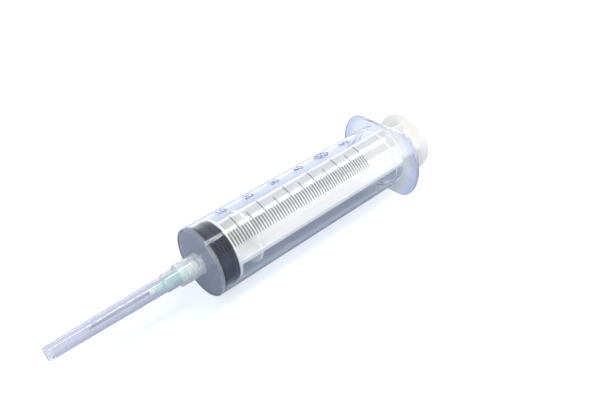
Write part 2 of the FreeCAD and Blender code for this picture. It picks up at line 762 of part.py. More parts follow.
# Needle sheath: a closed clear tube that grips the hub's body
def make_needle_sheath():
    body = new_body("needle_sheath")
    zero = nought()
    feature = turned(body, "sheath_moulding", [
        (sheath_mouth, sheath_bore_r),
        (sheath_mouth, sheath_wide_r),
        (sheath_wide_end, sheath_wide_r),
        (sheath_slim, sheath_slim_r),
        (sheath_tip, sheath_tip_r),
        (sheath_tip, zero),
        (sheath_bore_end, zero),
        (sheath_bore_end, sheath_tip_bore_r),
        (sheath_slim, sheath_slim_bore_r),
        (sheath_wide_end, sheath_bore_r),
    ])
    rounded(body, "sheath_tip_round", feature, of["sheath_round"],
            lambda edge: is_hoop(edge, sheath_tip, sheath_tip_r))
    return seat(body, "needle_sheath")


def check_and_write():
    """Stops at any object that failed, then writes one file for each piece."""
    doc.recompute()
    for item in doc.Objects:
        if "Invalid" in item.State or "Error" in item.State:
            raise ValueError("%s failed: %s" % (item.Name, item.State))
    os.makedirs("parts", exist_ok=True)
    for item in subparts:
        shape = item.Shape
        if shape.isNull() or not shape.isValid() or not shape.Solids:
            raise ValueError("%s has no sound shape" % item.Label)
        box = shape.BoundBox
        print("%-16s solids %3d  volume %9.2f  x %8.2f %8.2f  y %7.2f %7.2f  z %7.2f %7.2f" % (
            item.Label, len(shape.Solids), shape.Volume, box.XMin, box.XMax, box.YMin, box.YMax,
            box.ZMin, box.ZMax))
        shape.exportStep("parts/%s.step" % item.Label)


make_barrel()
make_scale_marks()
make_scale_numbers()
make_stopper()
make_plunger_rod()
make_needle_hub()
make_hub_glue()
make_needle()
make_needle_sheath()
check_and_write()
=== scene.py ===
"""Looks of a 60 ml luer lock syringe with a capped needle, lying on its finger flange.

Run as a script it builds the whole scene. Installed as an add-on it offers the same steps as buttons.
Lengths are in metres. The syringe's axis runs along X at a fixed height. A place along it, called t, counts
from the barrel's front face towards the thumb disc, and an angle round it, called delta, counts from the top
towards the camera's side: a point at (t, r, delta) is at X = t - START, Y = -r sin(delta),
Z = AXIS + r cos(delta).
"""

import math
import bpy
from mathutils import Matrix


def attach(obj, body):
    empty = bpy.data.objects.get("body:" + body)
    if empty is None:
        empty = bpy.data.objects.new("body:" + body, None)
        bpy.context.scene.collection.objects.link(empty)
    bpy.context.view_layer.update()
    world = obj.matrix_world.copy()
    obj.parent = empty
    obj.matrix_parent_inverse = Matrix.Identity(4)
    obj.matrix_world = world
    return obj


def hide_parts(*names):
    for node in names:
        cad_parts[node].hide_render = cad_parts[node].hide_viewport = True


bl_info = {
    "name": "Luer Lock Syringe",
    "version": (1, 0, 0),
    "blender": (4, 5, 0),
    "location": "View3D > Sidebar > Syringe",
    "description": "Builds a large clear syringe with a capped needle in a pale studio",
    "category": "Object",
}

from typing import Callable, NamedTuple

import bpy
import numpy as np
from bpy.props import FloatProperty, FloatVectorProperty, IntProperty, PointerProperty
from bpy.types import Operator, Panel, PropertyGroup
from mathutils import Matrix

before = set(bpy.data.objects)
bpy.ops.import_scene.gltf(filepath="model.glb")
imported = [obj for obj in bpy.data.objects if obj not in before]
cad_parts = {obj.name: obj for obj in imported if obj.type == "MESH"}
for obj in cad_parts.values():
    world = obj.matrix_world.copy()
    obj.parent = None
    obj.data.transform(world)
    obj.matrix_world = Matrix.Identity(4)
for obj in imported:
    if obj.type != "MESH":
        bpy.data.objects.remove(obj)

START = 0.0307  # from the barrel's front face to the part's middle
AXIS = 0.0176  # height of the syringe's axis
MILLILITRE = 1e-6

# Meshes, in metres and radians.
NEAR = 1e-7  # places this near count as one
PAST = 1e-5  # from a step in a skin to the row just past it
POLE = 0.0004  # radius of the row next to the axis
FINE_POLE = 0.0002  # the same on the sheath
GUARD = 0.0004  # about how far past a rounding its guard row lies
STRAIGHT = 0.01  # a corner that turns by less isn't rounded
ROUND_SHARE = 0.45  # share of a side that one rounding may use
LEAST_SHARE = 1e-6  # keeps a division by a cosine from nought
LEAST_SINE = 1e-4  # keeps a division by a sine from nought
FLANGE_ROOT = 0.001  # from the tube's skin to where the flange takes its own outline
THREAD_STEP = 0.00016  # from one row of the thread to the next
THREAD_MARGIN = 0.0003  # from the thread's end to its first row
THREAD_STEEP = 1.6  # how steep a ridge's sides are
THREAD_FADE = 0.0006  # length over which a ridge rises at its ends
LUG_FADE = 0.04  # angle over which a lug rises at its sides
FLUTE_RISE = 0.002  # length over which a ridge in the sheath rises, from its step towards the closed end
FLUTE_FADE = 0.001  # length over which that ridge sinks again before the closed end

# Steps round a piece, and rows of the dome.
STOPPER_STEPS = 240
HUB_STEPS = 192
GLUE_STEPS = 96
NEEDLE_STEPS = 64
SHEATH_STEPS = 192
DOME_ROWS = 12  # rows of the glue's dome

# Print, in metres where it is a length.
CAP_ROWS = 5  # rows of a stroke's round end
CAP_LEAST = 0.05  # share of a stroke's width at its very end
MARK_STEP = 0.0005  # from one row of a mark to the next
RING_ROWS = 97  # rows of the ring round the fifty
STROKE_RISE = 1e-6  # from one stroke's ink to that of the stroke that crosses it
STROKE_LEVELS = 6  # strokes that rise so before the next starts low again

# Skins: waves to the metre along X, Y and Z.
FLOW_WAVES = (35.0, 260.0, 260.0)
GRAIN_WAVES = (1900.0, 1900.0, 1900.0)
SCUFF_WAVES = (180.0, 900.0, 900.0)
PATCH_WAVES = (70.0, 70.0, 70.0)
DRAWN_WAVES = (60.0, 9000.0, 9000.0)
GRAIN_SHARE = 0.12  # height of the grain beside the flow lines
SCUFF_RANGE = (0.62, 0.75)  # where scuffs start and are full
PATCH_RANGE = (0.5, 0.7)  # where the patches that hold them start and are full
SCUFFED_SHARE = 0.96  # how bright a scuff is beside the plastic

# Lamps: name, direction from the syringe, and distance, width and height in metres.
LAMPS = (
    ("strip", (0.517, -0.108, 0.853), 1.0, 1.5, 0.2),
    ("panel", (0.1, 0.25, 1.0), 1.3, 2.2, 1.6),
    ("key", (-0.45, -0.75, 0.85), 1.1, 0.8, 0.8),
    ("back", (0.51, 0.80, 0.34), 1.2, 1.8, 0.8),
    ("side", (-1.0, -0.25, 0.30), 1.0, 1.1, 1.1),
)

# Camera: its place in metres, and its own directions to the right, upwards and backwards. The sensor's
# width is in millimetres, and the view's near and far ends are in metres.
CAMERA_PLACE = (-0.129307, -0.196985, 0.192056)
CAMERA_RIGHT = (0.73902, -0.66704, -0.09443)
CAMERA_UP = (0.43929, 0.37087, 0.81822)
CAMERA_BACK = (-0.51076, -0.64616, 0.56710)
SENSOR = 36.0
CLIP = (0.01, 50.0)

# Floor: dull, with hardly any gloss.
FLOOR_ROUGHNESS = 0.9
FLOOR_GLOSS = 0.1


# Properties
def length(name, description, millimetres):
    """A length property, given in millimetres and kept in metres."""
    return FloatProperty(name=name, description=description, default=millimetres / 1000.0, unit="LENGTH",
                         precision=5, min=0.0)


def angle(name, description, degrees):
    """An angle property, given in degrees and kept in radians."""
    return FloatProperty(name=name, description=description, default=math.radians(degrees), unit="ROTATION")


def share(name, description, value, low=0.0, high=1.0):
    """A plain number without a unit."""
    return FloatProperty(name=name, description=description, default=value, min=low, max=high)


def whole(name, description, value, low=1):
    """A whole number."""
    return IntProperty(name=name, description=description, default=value, min=low)


def tone(name, description, value):
    """A colour, in linear light."""
    return FloatVectorProperty(name=name, description=description, default=value, size=3, min=0.0, max=1.0,
                               subtype="COLOR")


def power(name, description, watts):
    """A lamp's power."""
    return FloatProperty(name=name, description=description, default=watts, unit="POWER", min=0.0)


class BarrelProperties(PropertyGroup):
    """Sizes of the barrel moulding: tube, luer tip, lock collar and finger flange."""

    bore: length("Bore radius", "Inside radius of the tube", 14.8)
    radius: length("Barrel radius", "Outside radius of the tube", 16.0)
    tube: length("Length", "Front face to the flange's rear face", 112.6)
    front_wall: length("Front wall", "Thickness of the front wall", 1.9)
    front_round: length("Front rounding", "Rounding of the front face's rim", 0.6)
    edge_round: length("Edge rounding", "Rounding of small edges", 0.2)
    flange_radius: length("Flange radius", "Radius of the flange's round ends", 24.45)
    flange_half: length("Flange half", "Axis to each flat of the flange", 17.6)
    flange_thickness: length("Flange thickness", "Thickness of the flange", 2.1)
    flange_corner: length("Flange corner", "Rounding of the flange's four corners", 8.5)
    flange_edge: length("Flange edge", "Rounding of the flange's rims", 0.5)
    mouth_flare: length("Mouth flare", "Bevel of the bore's rear mouth", 0.5)
    bead_height: length("Bead height", "Height of the ring inside the bore", 0.35)
    bead_width: length("Bead width", "Width of that ring", 1.6)
    bead_inset: length("Bead inset", "Rear face to the middle of that ring", 6.0)
    tip_radius: length("Tip radius", "Radius of the luer tip's end", 1.98)
    tip_slope: share("Tip slope", "Growth of the tip's radius along it", 0.03)
    tip_length: length("Tip length", "Front face to the tip's end", 12.4)
    tip_bore: length("Tip bore", "Radius of the passage", 1.0)
    collar_radius: length("Collar radius", "Outside radius of the collar", 5.0)
    collar_bore: length("Collar bore", "Inside radius of the collar", 4.0)
    collar_length: length("Collar length", "Front face to the collar's mouth", 11.0)
    collar_round: length("Collar rounding", "Rounding of the collar's mouth", 0.35)
    window_front: length("Window front", "Front face to the near side of the collar's windows", 1.7)
    window_rear: length("Window rear", "Front face to the far side of the collar's windows", 2.9)
    window_span: angle("Window span", "Angle that a window spans", 52.0)
    window_turn: angle("Window turn", "Angle of the first window's middle from the top", 36.5)
    thread_lead: length("Thread lead", "Travel of the two start thread in one turn", 5.0)
    thread_depth: length("Thread depth", "Height of the thread's ridges", 0.5)
    thread_half: length("Thread half width", "Half the width of a ridge at its foot", 0.5)
    thread_offset: length("Thread offset", "Front face to a ridge's middle at the top", 5.7)
    thread_first: length("Thread start", "Front face to the rear end of the thread", 4.2)
    thread_last: length("Thread end", "Front face to the front end of the thread", 10.7)
    segments: whole("Segments", "Steps round the barrel", 384, 48)


class ScaleProperties(PropertyGroup):
    """Sizes of the printed scale."""

    count: whole("Marks", "Number of one millilitre marks", 60)
    zero: length("Nought", "Front face to the place of nought", 2.42)
    line: length("Line width", "Width of a printed line", 0.36)
    stroke: length("Stroke width", "Width of a number's stroke", 0.42)
    lift: length("Lift", "Barrel's skin to the underside of the ink", 0.008)
    thickness: length("Thickness", "Thickness of the ink", 0.04)
    low: angle("Low end", "Angle from the top where every mark starts", 56.5)
    one: angle("One", "Angle where a one millilitre mark ends", 30.5)
    five: angle("Five", "Angle where a five millilitre mark ends", 16.5)
    ten: angle("Ten", "Angle where a ten millilitre mark ends", 8.0)
    number_turn: angle("Number angle", "Angle from the top of the numbers' middle line", -12.5)
    number_high: length("Number height", "Height of a number's strokes, middle to middle", 3.5)
    number_wide: length("Number width", "Width of a digit's strokes, middle to middle", 1.7)
    number_gap: length("Number step", "Step from one digit to the next", 2.5)
    ring_long: length("Ring half length", "Half length of the ring round the fifty", 3.6)
    ring_high: length("Ring half height", "Half height of the ring round the fifty", 2.9)


class PlungerProperties(PropertyGroup):
    """Sizes of the stopper and the plunger rod."""

    stopper_front: length("Stopper front", "Front face to the stopper", 2.2)
    stopper_length: length("Stopper length", "Length of the stopper", 8.1)
    stopper_radius: length("Stopper radius", "Radius of the sealing rings", 14.75)
    land_depth: length("Land depth", "Sealing rings to the lands between them", 0.5)
    front_ring_end: length("Front ring end", "Stopper's front to the end of the front ring", 1.0)
    land_start: length("Land start", "Stopper's front to the start of the land", 1.5)
    land_end: length("Land end", "Stopper's front to the end of the land", 4.5)
    rear_ring_start: length("Rear ring start", "Stopper's front to the start of the rear ring", 5.0)
    rear_ring_end: length("Rear ring end", "Stopper's front to the end of the rear ring", 5.9)
    tail_start: length("Tail start", "Stopper's front to the start of its tail", 6.4)
    stopper_round: length("Stopper rounding", "Rounding of the stopper's front rim", 0.35)
    edge_round: length("Edge rounding", "Rounding of the lands' ends and of the rod's discs", 0.3)
    small_round: length("Small rounding", "Rounding of the other small edges", 0.2)
    rib_soft: length("Rib softness", "Width over which a rib's edge is rounded", 0.3)
    cavity_front: length("Cavity front", "Front face to the front of the stopper's hollow", 4.6)
    cavity_rear: length("Cavity rear", "Front face to the rear of the stopper's hollow", 8.1)
    cavity_radius: length("Cavity radius", "Radius of the stopper's hollow", 9.05)
    cavity_mouth: length("Cavity mouth", "Radius of the hollow's mouth", 6.05)
    head_front: length("Head front", "Front face to the rod's head", 4.85)
    head_rear: length("Head rear", "Front face to the rear of the rod's head", 7.85)
    head_radius: length("Head radius", "Radius of the rod's head", 9.0)
    neck_radius: length("Neck radius", "Radius of the neck behind the head", 6.0)
    press_front: length("Press disc", "Front face to the disc that presses on the stopper", 10.6)
    press_thickness: length("Press disc thickness", "Thickness of that disc", 1.5)
    press_radius: length("Press disc radius", "Radius of that disc", 14.1)
    web_front: length("Web disc", "Front face to the disc between the ribs", 23.2)
    web_thickness: length("Web disc thickness", "Thickness of that disc", 1.2)
    web_radius: length("Web disc radius", "Radius of that disc", 12.6)
    rib_radius: length("Rib radius", "Axis to a rib's edge inside the barrel", 13.4)
    rib_rear_radius: length("Rear rib radius", "Axis to a rib's edge near the thumb disc", 11.0)
    rib_thickness: length("Rib thickness", "Thickness of a rib", 1.7)
    core_radius: length("Core radius", "Radius of the round core between the ribs", 1.7)
    shoulder_front: length("Shoulder front", "Front face to where the ribs get narrower", 112.6)
    shoulder_length: length("Shoulder length", "Length of that slope", 5.5)
    thumb_front: length("Thumb disc", "Front face to the thumb disc", 127.9)
    thumb_thickness: length("Thumb disc thickness", "Thickness of the thumb disc", 2.0)
    thumb_radius: length("Thumb disc radius", "Radius of the thumb disc", 15.6)
    thumb_round: length("Thumb disc rounding", "Rounding of the thumb disc's rims", 0.6)


class NeedleProperties(PropertyGroup):
    """Sizes of the hub, glue, needle and sheath. Places count forwards from the barrel's front face."""

    hub_mouth: length("Hub mouth", "Front face to the hub's mouth", 6.4)
    hub_shoulder: length("Hub shoulder", "Front face to the end of the hub's body", 16.8)
    hub_nose: length("Hub nose", "Front face to the end of the hub's nose", 22.5)
    hub_radius: length("Hub radius", "Radius of the hub's body", 3.0)
    core_radius: length("Nose radius", "Radius of the hub's nose", 1.7)
    lug_radius: length("Lug radius", "Axis to a lug's edge", 3.9)
    lug_thickness: length("Lug thickness", "Thickness of a lug", 1.1)
    lug_span: angle("Lug span", "Angle that a lug spans", 50.0)
    fin_radius: length("Fin radius", "Axis to a fin's edge at the body", 2.55)
    fin_nose_radius: length("Fin nose radius", "Axis to a fin's edge at the nose", 2.2)
    fin_thickness: length("Fin thickness", "Thickness of a fin", 0.8)
    fin_soft: length("Fin softness", "Width over which a fin's edge is rounded", 0.2)
    fin_short: length("Fin inset", "Nose's end to the fins", 0.9)
    socket_end: length("Socket end", "Front face to the bottom of the hub's socket", 14.2)
    socket_mouth_radius: length("Socket mouth", "Radius of the socket's mouth", 2.18)
    socket_end_radius: length("Socket end radius", "Radius of the socket's bottom", 1.946)
    passage: length("Passage", "Radius of the hole for the needle", 0.45)
    well_radius: length("Well radius", "Radius of the glue well", 1.15)
    well_end: length("Well end", "Front face to the bottom of the glue well", 18.3)
    glue_dome: length("Glue dome", "Height of the glue over the nose", 1.7)
    glue_tip: length("Glue tip", "Radius of the dome's end", 0.75)
    needle_radius: length("Needle radius", "Outside radius of the needle", 0.41)
    needle_bore: length("Needle bore", "Inside radius of the needle", 0.26)
    needle_point: length("Needle point", "Front face to the needle's point", 51.3)
    needle_rear: length("Needle rear", "Front face to the needle's rear end", 15.9)
    bevel: length("Bevel", "Length of the ground bevel", 2.8)
    sheath_mouth: length("Sheath mouth", "Front face to the sheath's mouth", 11.3)
    sheath_wide_end: length("Sheath wide end", "Front face to the end of the wide part", 17.0)
    sheath_slim: length("Sheath slim", "Front face to the start of the slim part", 18.0)
    sheath_tip: length("Sheath tip", "Front face to the closed end", 68.5)
    sheath_bore_end: length("Sheath bore end", "Front face to the inside of the closed end", 67.0)
    sheath_wide: length("Sheath wide radius", "Outside radius of the wide part", 3.95)
    sheath_bore: length("Sheath bore", "Inside radius of the wide part", 3.05)
    sheath_slim_radius: length("Sheath slim radius", "Outside radius of the slim part", 3.52)
    sheath_slim_bore: length("Sheath slim bore", "Inside radius of the slim part", 2.77)
    sheath_tip_radius: length("Sheath tip radius", "Outside radius at the closed end", 2.98)
    sheath_tip_bore: length("Sheath tip bore", "Inside radius at the closed end", 2.23)
    sheath_round: length("Sheath rounding", "Rounding of the closed end", 0.9)
    hub_round: length("Hub rounding", "Rounding of the hub's small edges", 0.1)
    shoulder_round: length("Shoulder rounding", "Rounding of the hub's shoulder and nose", 0.2)
    step_round: length("Step rounding", "Rounding of the sheath's outside step", 0.6)
    mouth_round: length("Mouth rounding", "Outside rounding of the sheath's mouth", 0.25)
    mouth_inside: length("Mouth inside rounding", "Inside rounding of the sheath's mouth", 0.15)
    wide_inside: length("Wide inside rounding", "Rounding at the end of the wide bore", 0.2)
    slim_inside: length("Slim inside rounding", "Rounding at the start of the slim bore", 0.3)
    end_inside: length("End inside rounding", "Rounding inside the closed end", 0.7)
    glue_gap: length("Glue gap", "Gap between the glue and the well's wall", 0.03)
    glue_bore_gap: length("Glue bore gap", "Gap between the glue and the needle", 0.005)
    glue_bevel: length("Glue bevel", "Bevel of the glue round the needle", 0.1)
    flute_depth: length("Flute depth", "Height of the fine ridges inside the sheath", 0.10)
    flutes: whole("Flutes", "Number of fine ridges inside the sheath", 8)


class LookProperties(PropertyGroup):
    """Colours of the materials, and where they change."""

    barrel: tone("Barrel", "Clear, slightly blue plastic", (0.905, 0.925, 0.97))
    # Flange: a painted bluish shade for the wings' ends, standing in for the dim floor seen through them
    flange: tone("Flange", "The same plastic where it is thick", (0.68, 0.72, 0.90))
    frosted: tone("Frosted", "The same plastic where it is dull and milky", (0.42, 0.46, 0.58))
    collar: tone("Collar", "The same plastic on the tip and the collar", (0.92, 0.94, 0.945))
    ink: tone("Ink", "Black print", (0.012, 0.012, 0.018))
    # Number ink: the same black ink as the marks, with a painted reflection of blue light at a grazing view
    number_ink: tone("Number ink", "Blue print of the numbers", (0.02, 0.045, 0.20))
    rubber: tone("Rubber", "Black rubber with a blue cast", (0.006, 0.011, 0.042))
    rod: tone("Rod", "White plastic", (0.85, 0.84, 0.815))
    hub: tone("Hub", "Green plastic", (0.50, 0.89, 0.77))
    glue: tone("Glue", "Cured cream glue", (0.88, 0.84, 0.72))
    # Steel: darkened well below bare steel, a painted reflection of dim surroundings
    steel: tone("Steel", "Drawn steel", (0.20, 0.21, 0.25))
    sheath: tone("Sheath", "Clear, slightly blue plastic", (0.77, 0.775, 0.855))
    # Where the painted bluish shade on the flange's wings starts and where it is full
    wing_shade_start: length("Wing start", "Axis to where the flange starts to get bluer", 18.5)
    wing_shade_end: length("Wing end", "Axis to where the flange has its full blue", 23.0)
    flange_rings: share("Flange rings", "Radians to the metre of the flange's fine rings", 7000.0, 0.0, 1e5)
    ring_share: share("Ring share", "Height of those rings beside the plastic's waves", 0.35)
    pressed: tone("Pressed rubber", "The rubber where it presses on the barrel", (0.002, 0.002, 0.003))
    pressed_start: length("Pressed start", "Axis to where the rubber starts to press", 14.35)
    pressed_end: length("Pressed end", "Axis to where the rubber presses fully", 14.6)
    pressed_dull: share("Pressed dullness", "Roughness that the pressed rubber gains", 0.5)


class StageProperties(PropertyGroup):
    """Floor, lights and camera."""

    floor_tone: tone("Floor", "Colour of the floor", (0.42, 0.47, 0.57))
    floor_glow: share("Floor glow", "Light that the floor adds towards the camera near the syringe", 0.56)
    floor_near: length("Floor near", "From the syringe to where the floor starts to get whiter", 60.0)
    floor_far: length("Floor far", "From the syringe to where the floor is plain white", 400.0)
    # Painted shadow: clear pieces see the floor dimmest in a band under the syringe
    floor_through_painted_shadow: share("Floor seen through", "Floor's light under the syringe for clear pieces", 0.04)
    floor_beside: share("Floor seen beside", "Floor's light beside the syringe for clear pieces", 0.22)
    painted_shadow_half: length("Under half", "Axis to where the floor under the syringe ends", 18.0)
    beside_half: length("Beside half", "Axis to where the floor beside the syringe starts", 55.0)
    floor_half: length("Floor half", "Half the floor's width", 4000.0)
    sky_tone: tone("Sky", "Colour of the room's light", (0.93, 0.96, 1.0))
    sky: share("Sky strength", "Strength of the room's light", 0.22, 0.0, 5.0)
    backdrop: share("Backdrop", "Strength of the white backdrop as it is seen", 1.0, 0.0, 2.0)
    key: power("Key power", "Power of the light from the camera's side", 5.0)
    back: power("Back power", "Power of the bluish light behind the syringe", 2.6)
    back_tone: tone("Back light", "Colour of the light behind the syringe", (0.84, 0.89, 1.0))
    panel: power("Panel power", "Power of the wide light overhead", 1.2)
    side: power("Side power", "Power of the light that faces the syringe's front", 9.5)
    strip: power("Strip power", "Power of the long soft light", 7.1)
    focal: share("Focal length", "Camera's focal length in millimetres", 39.83, 1.0, 500.0)


SETTINGS = (
    ("syringe_barrel", BarrelProperties),
    ("syringe_scale", ScaleProperties),
    ("syringe_plunger", PlungerProperties),
    ("syringe_needle", NeedleProperties),
    ("syringe_look", LookProperties),
    ("syringe_stage", StageProperties),
)


# Surfaces
def guard_reach(reach, side):
    """Corner to the guard row beside an arc that starts at reach, on a side of the given length.

    The row lies at 0.9 of the reach plus GUARD, at most at 1.6 of the reach and at half the side, and in any
    case just past the arc.
    """
    return max(min(1.6 * reach, 0.5 * side, 0.9 * reach + GUARD), 1.02 * reach)


def rounded(corners, closed, steps=5):
    """A half section as (t, r) rows, with each corner (t, r, rounding) turned into an arc.

    An arc of radius q at a corner whose sides turn by phi starts q tan(phi / 2) before it. A guard row is
    added a little way before and after each arc, so that the shading of the straight sides stays even.
    """
    count = len(corners)
    rows = []
    for index, (t, r, radius) in enumerate(corners):
        here = np.array([t, r])
        if radius <= 0.0 or (not closed and index in (0, count - 1)):
            rows.append(here)
            continue
        before = np.array(corners[index - 1][:2]) - here
        after = np.array(corners[(index + 1) % count][:2]) - here
        reach_before = np.linalg.norm(before)
        reach_after = np.linalg.norm(after)
        before /= reach_before
        after /= reach_after
        turn = math.pi - math.acos(float(np.clip(before @ after, -1.0, 1.0)))
        if turn < STRAIGHT:
            rows.append(here)
            continue
        reach = min(radius * math.tan(turn / 2.0), ROUND_SHARE * reach_before, ROUND_SHARE * reach_after)
        radius = reach / math.tan(turn / 2.0)
        first = here + before * reach
        last = here + after * reach
        bisector = (before + after) / np.linalg.norm(before + after)
        centre = here + bisector * (radius / math.cos(turn / 2.0))
        rows.append(here + before * guard_reach(reach, reach_before))
        start = first - centre
        side = np.array([-start[1], start[0]])
        if side @ (last - centre) < 0.0:
            side = -side
        for step in range(steps + 1):
            a = turn * step / steps
            rows.append(centre + start * math.cos(a) + side * math.sin(a))
        rows.append(here + after * guard_reach(reach, reach_after))
    return np.array(rows)


def places(t, r, delta):
    """Points on the row frame from places, radii and angles: (t - START, -r sin d, AXIS + r cos d)."""
    t, r, delta = np.broadcast_arrays(t, r, delta)
    return np.stack([t - START, -r * np.sin(delta), AXIS + r * np.cos(delta)], axis=-1)


def grid_faces(rows, columns, wrap_rows, skip=None):
    """Quads of a grid that closes round its columns, and round its rows too when asked."""
    last = rows if wrap_rows else rows - 1
    i, j = np.meshgrid(np.arange(last), np.arange(columns), indexing="ij")
    keep = np.ones(i.shape, dtype=bool) if skip is None else ~skip[:last]
    i = i[keep]
    j = j[keep]
    i_next = (i + 1) % rows
    j_next = (j + 1) % columns
    here, following = i * columns, i_next * columns
    return quads_of(here + j, here + j_next, following + j_next, following + j)


def quads_of(*corners):
    """Quads from four arrays of corners."""
    return np.stack(corners, axis=1)


def volume_of(points, quads, triangles):
    """Six times the signed volume inside the faces, by the divergence theorem."""
    total = 0.0
    parts = [triangles] if len(triangles) else []
    if len(quads):
        parts += [quads[:, (0, 1, 2)], quads[:, (0, 2, 3)]]
    for part in parts:
        a, b, c = points[part[:, 0]], points[part[:, 1]], points[part[:, 2]]
        total += float(np.einsum("ij,ij->i", a, np.cross(b, c)).sum())
    return total


def mesh_object(name, points, quads, triangles=None, sharp=math.radians(35.0)):
    """A smooth mesh object from whole arrays, with its faces turned outwards."""
    triangles = np.zeros((0, 3), dtype=int) if triangles is None else triangles
    if volume_of(points, quads, triangles) < 0.0:
        quads = quads[:, ::-1]
        triangles = triangles[:, ::-1]
    mesh = bpy.data.meshes.new(name)
    mesh.vertices.add(len(points))
    mesh.vertices.foreach_set("co", np.ascontiguousarray(points, dtype=np.float32).ravel())
    corners = np.concatenate([quads.ravel(), triangles.ravel()]).astype(np.int32)
    sizes = np.concatenate([np.full(len(quads), 4), np.full(len(triangles), 3)]).astype(np.int32)
    starts = np.concatenate([[0], np.cumsum(sizes)[:-1]]).astype(np.int32)
    mesh.loops.add(len(corners))
    mesh.loops.foreach_set("vertex_index", corners)
    mesh.polygons.add(len(sizes))
    mesh.polygons.foreach_set("loop_start", starts)
    mesh.update(calc_edges=True)
    mesh.validate()
    mesh.shade_smooth()
    mesh.set_sharp_from_angle(angle=sharp)
    item = bpy.data.objects.new(name, mesh)
    bpy.context.scene.collection.objects.link(item)
    return item


def ring_object(name, t, r, delta):
    """A closed ring: rows close on themselves, so nothing reaches the axis."""
    points = places(t, r, delta)
    rows, columns = points.shape[:2]
    return mesh_object(name, points.reshape(-1, 3), grid_faces(rows, columns, True))


def capped_object(name, t, r, delta):
    """A closed skin whose first and last rows shrink to a point on the axis."""
    points = places(t, r, delta)
    rows, columns = points.shape[:2]
    body = points.reshape(-1, 3)
    first = np.array([[points[0, :, 0].mean(), 0.0, AXIS]])
    last = np.array([[points[-1, :, 0].mean(), 0.0, AXIS]])
    j = np.arange(columns)
    j_next = (j + 1) % columns
    low = np.full(columns, rows * columns)
    high = low + 1
    tail = (rows - 1) * columns
    fans = np.concatenate([
        np.stack([low, j_next, j], axis=1),
        np.stack([high, tail + j, tail + j_next], axis=1),
    ])
    return mesh_object(name, np.concatenate([body, first, last]), grid_faces(rows, columns, False), fans)


def around(count):
    """Even angles round the axis."""
    return np.arange(count) * (2.0 * math.pi / count)


def smooth_step(x):
    """0 below nought, 1 above one, and 3x^2 - 2x^3 between."""
    x = np.clip(x, 0.0, 1.0)
    return x * x * (3.0 - 2.0 * x)


def flange_reach(size, delta):
    """Axis to the flange's edge at each angle: a disc with two flats whose corners are arcs.

    A flat gives half / |cos d|, the disc its radius, and the corner arc, with its centre c inside both,
    gives u.c + sqrt((u.c)^2 - c.c + q^2) along the ray u.
    """
    q = size.flange_corner
    high = size.flange_half - q
    wide = math.sqrt((size.flange_radius - q) ** 2 - high ** 2)
    across = np.abs(np.cos(delta))
    along = np.abs(np.sin(delta))
    from_top = np.arctan2(along, across)
    flat = size.flange_half / np.maximum(across, LEAST_SHARE)
    dot = along * wide + across * high
    corner = dot + np.sqrt(np.maximum(dot ** 2 - wide ** 2 - high ** 2 + q ** 2, 0.0))
    start = math.atan2(wide, size.flange_half)
    end = math.atan2(wide, high)
    return np.where(from_top < start, flat, np.where(from_top < end, corner, size.flange_radius))


def thread_height(size, t, delta):
    """Height of the collar's ridges: two starts, so a ridge passes every half lead along the axis.

    The distance to the nearest ridge is that of t + offset - lead d / 2 pi from a whole number of half leads.
    """
    step = size.thread_lead / 2.0
    phase = (t + size.thread_offset - size.thread_lead * delta / (2.0 * math.pi)) / step
    away = np.abs(phase - np.round(phase)) * step
    ridge = smooth_step(THREAD_STEEP * (1.0 - away / size.thread_half))
    front_fade = smooth_step((t + size.thread_last) / THREAD_FADE)
    rear_fade = smooth_step((-size.thread_first - t) / THREAD_FADE)
    return size.thread_depth * ridge * (front_fade * rear_fade)


# Materials
def group_tree(name, outputs, inputs=()):
    """A shared shader node group with plain number inputs."""
    tree = bpy.data.node_groups.new(name, "ShaderNodeTree")
    for label, value in inputs:
        socket = tree.interface.new_socket(name=label, in_out="INPUT", socket_type="NodeSocketFloat")
        socket.default_value = value
    for label in outputs:
        tree.interface.new_socket(name=label, in_out="OUTPUT", socket_type="NodeSocketFloat")
    return tree


def add(tree, kind, **settings):
    """A node with its settings."""
    node = tree.nodes.new(kind)
    for key, value in settings.items():
        setattr(node, key, value)
    return node


def give(tree, socket, value):
    """Sets an input to a plain value, or links it to another socket."""
    if hasattr(value, "links"):
        tree.links.new(value, socket)
    else:
        socket.default_value = value


def math_node(tree, operation, *values, clamp=False):
    """A math node whose inputs are sockets or plain numbers."""
    node = add(tree, "ShaderNodeMath", operation=operation, use_clamp=clamp)
    for socket, value in zip(node.inputs, values):
        give(tree, socket, value)
    return node.outputs[0]


def ranged(tree, value, low, high, new_low, new_high):
    """A value carried from one range to another."""
    node = add(tree, "ShaderNodeMapRange")
    for name, number in (("Value", value), ("From Min", low), ("From Max", high), ("To Min", new_low),
                         ("To Max", new_high)):
        give(tree, node.inputs[name], number)
    return node.outputs["Result"]


def object_place(tree):
    """The point that is shaded, in the piece's own coordinates."""
    return add(tree, "ShaderNodeTexCoord").outputs["Object"]


def noise(tree, coordinates, scales, detail=2.0):
    """Noise with its own number of waves to the metre along each axis."""
    mapping = add(tree, "ShaderNodeMapping")
    mapping.inputs["Scale"].default_value = scales
    node = add(tree, "ShaderNodeTexNoise")
    node.inputs["Scale"].default_value = 1.0
    node.inputs["Detail"].default_value = detail
    tree.links.new(coordinates, mapping.inputs["Vector"])
    tree.links.new(mapping.outputs[0], node.inputs["Vector"])
    return node.outputs["Fac"]


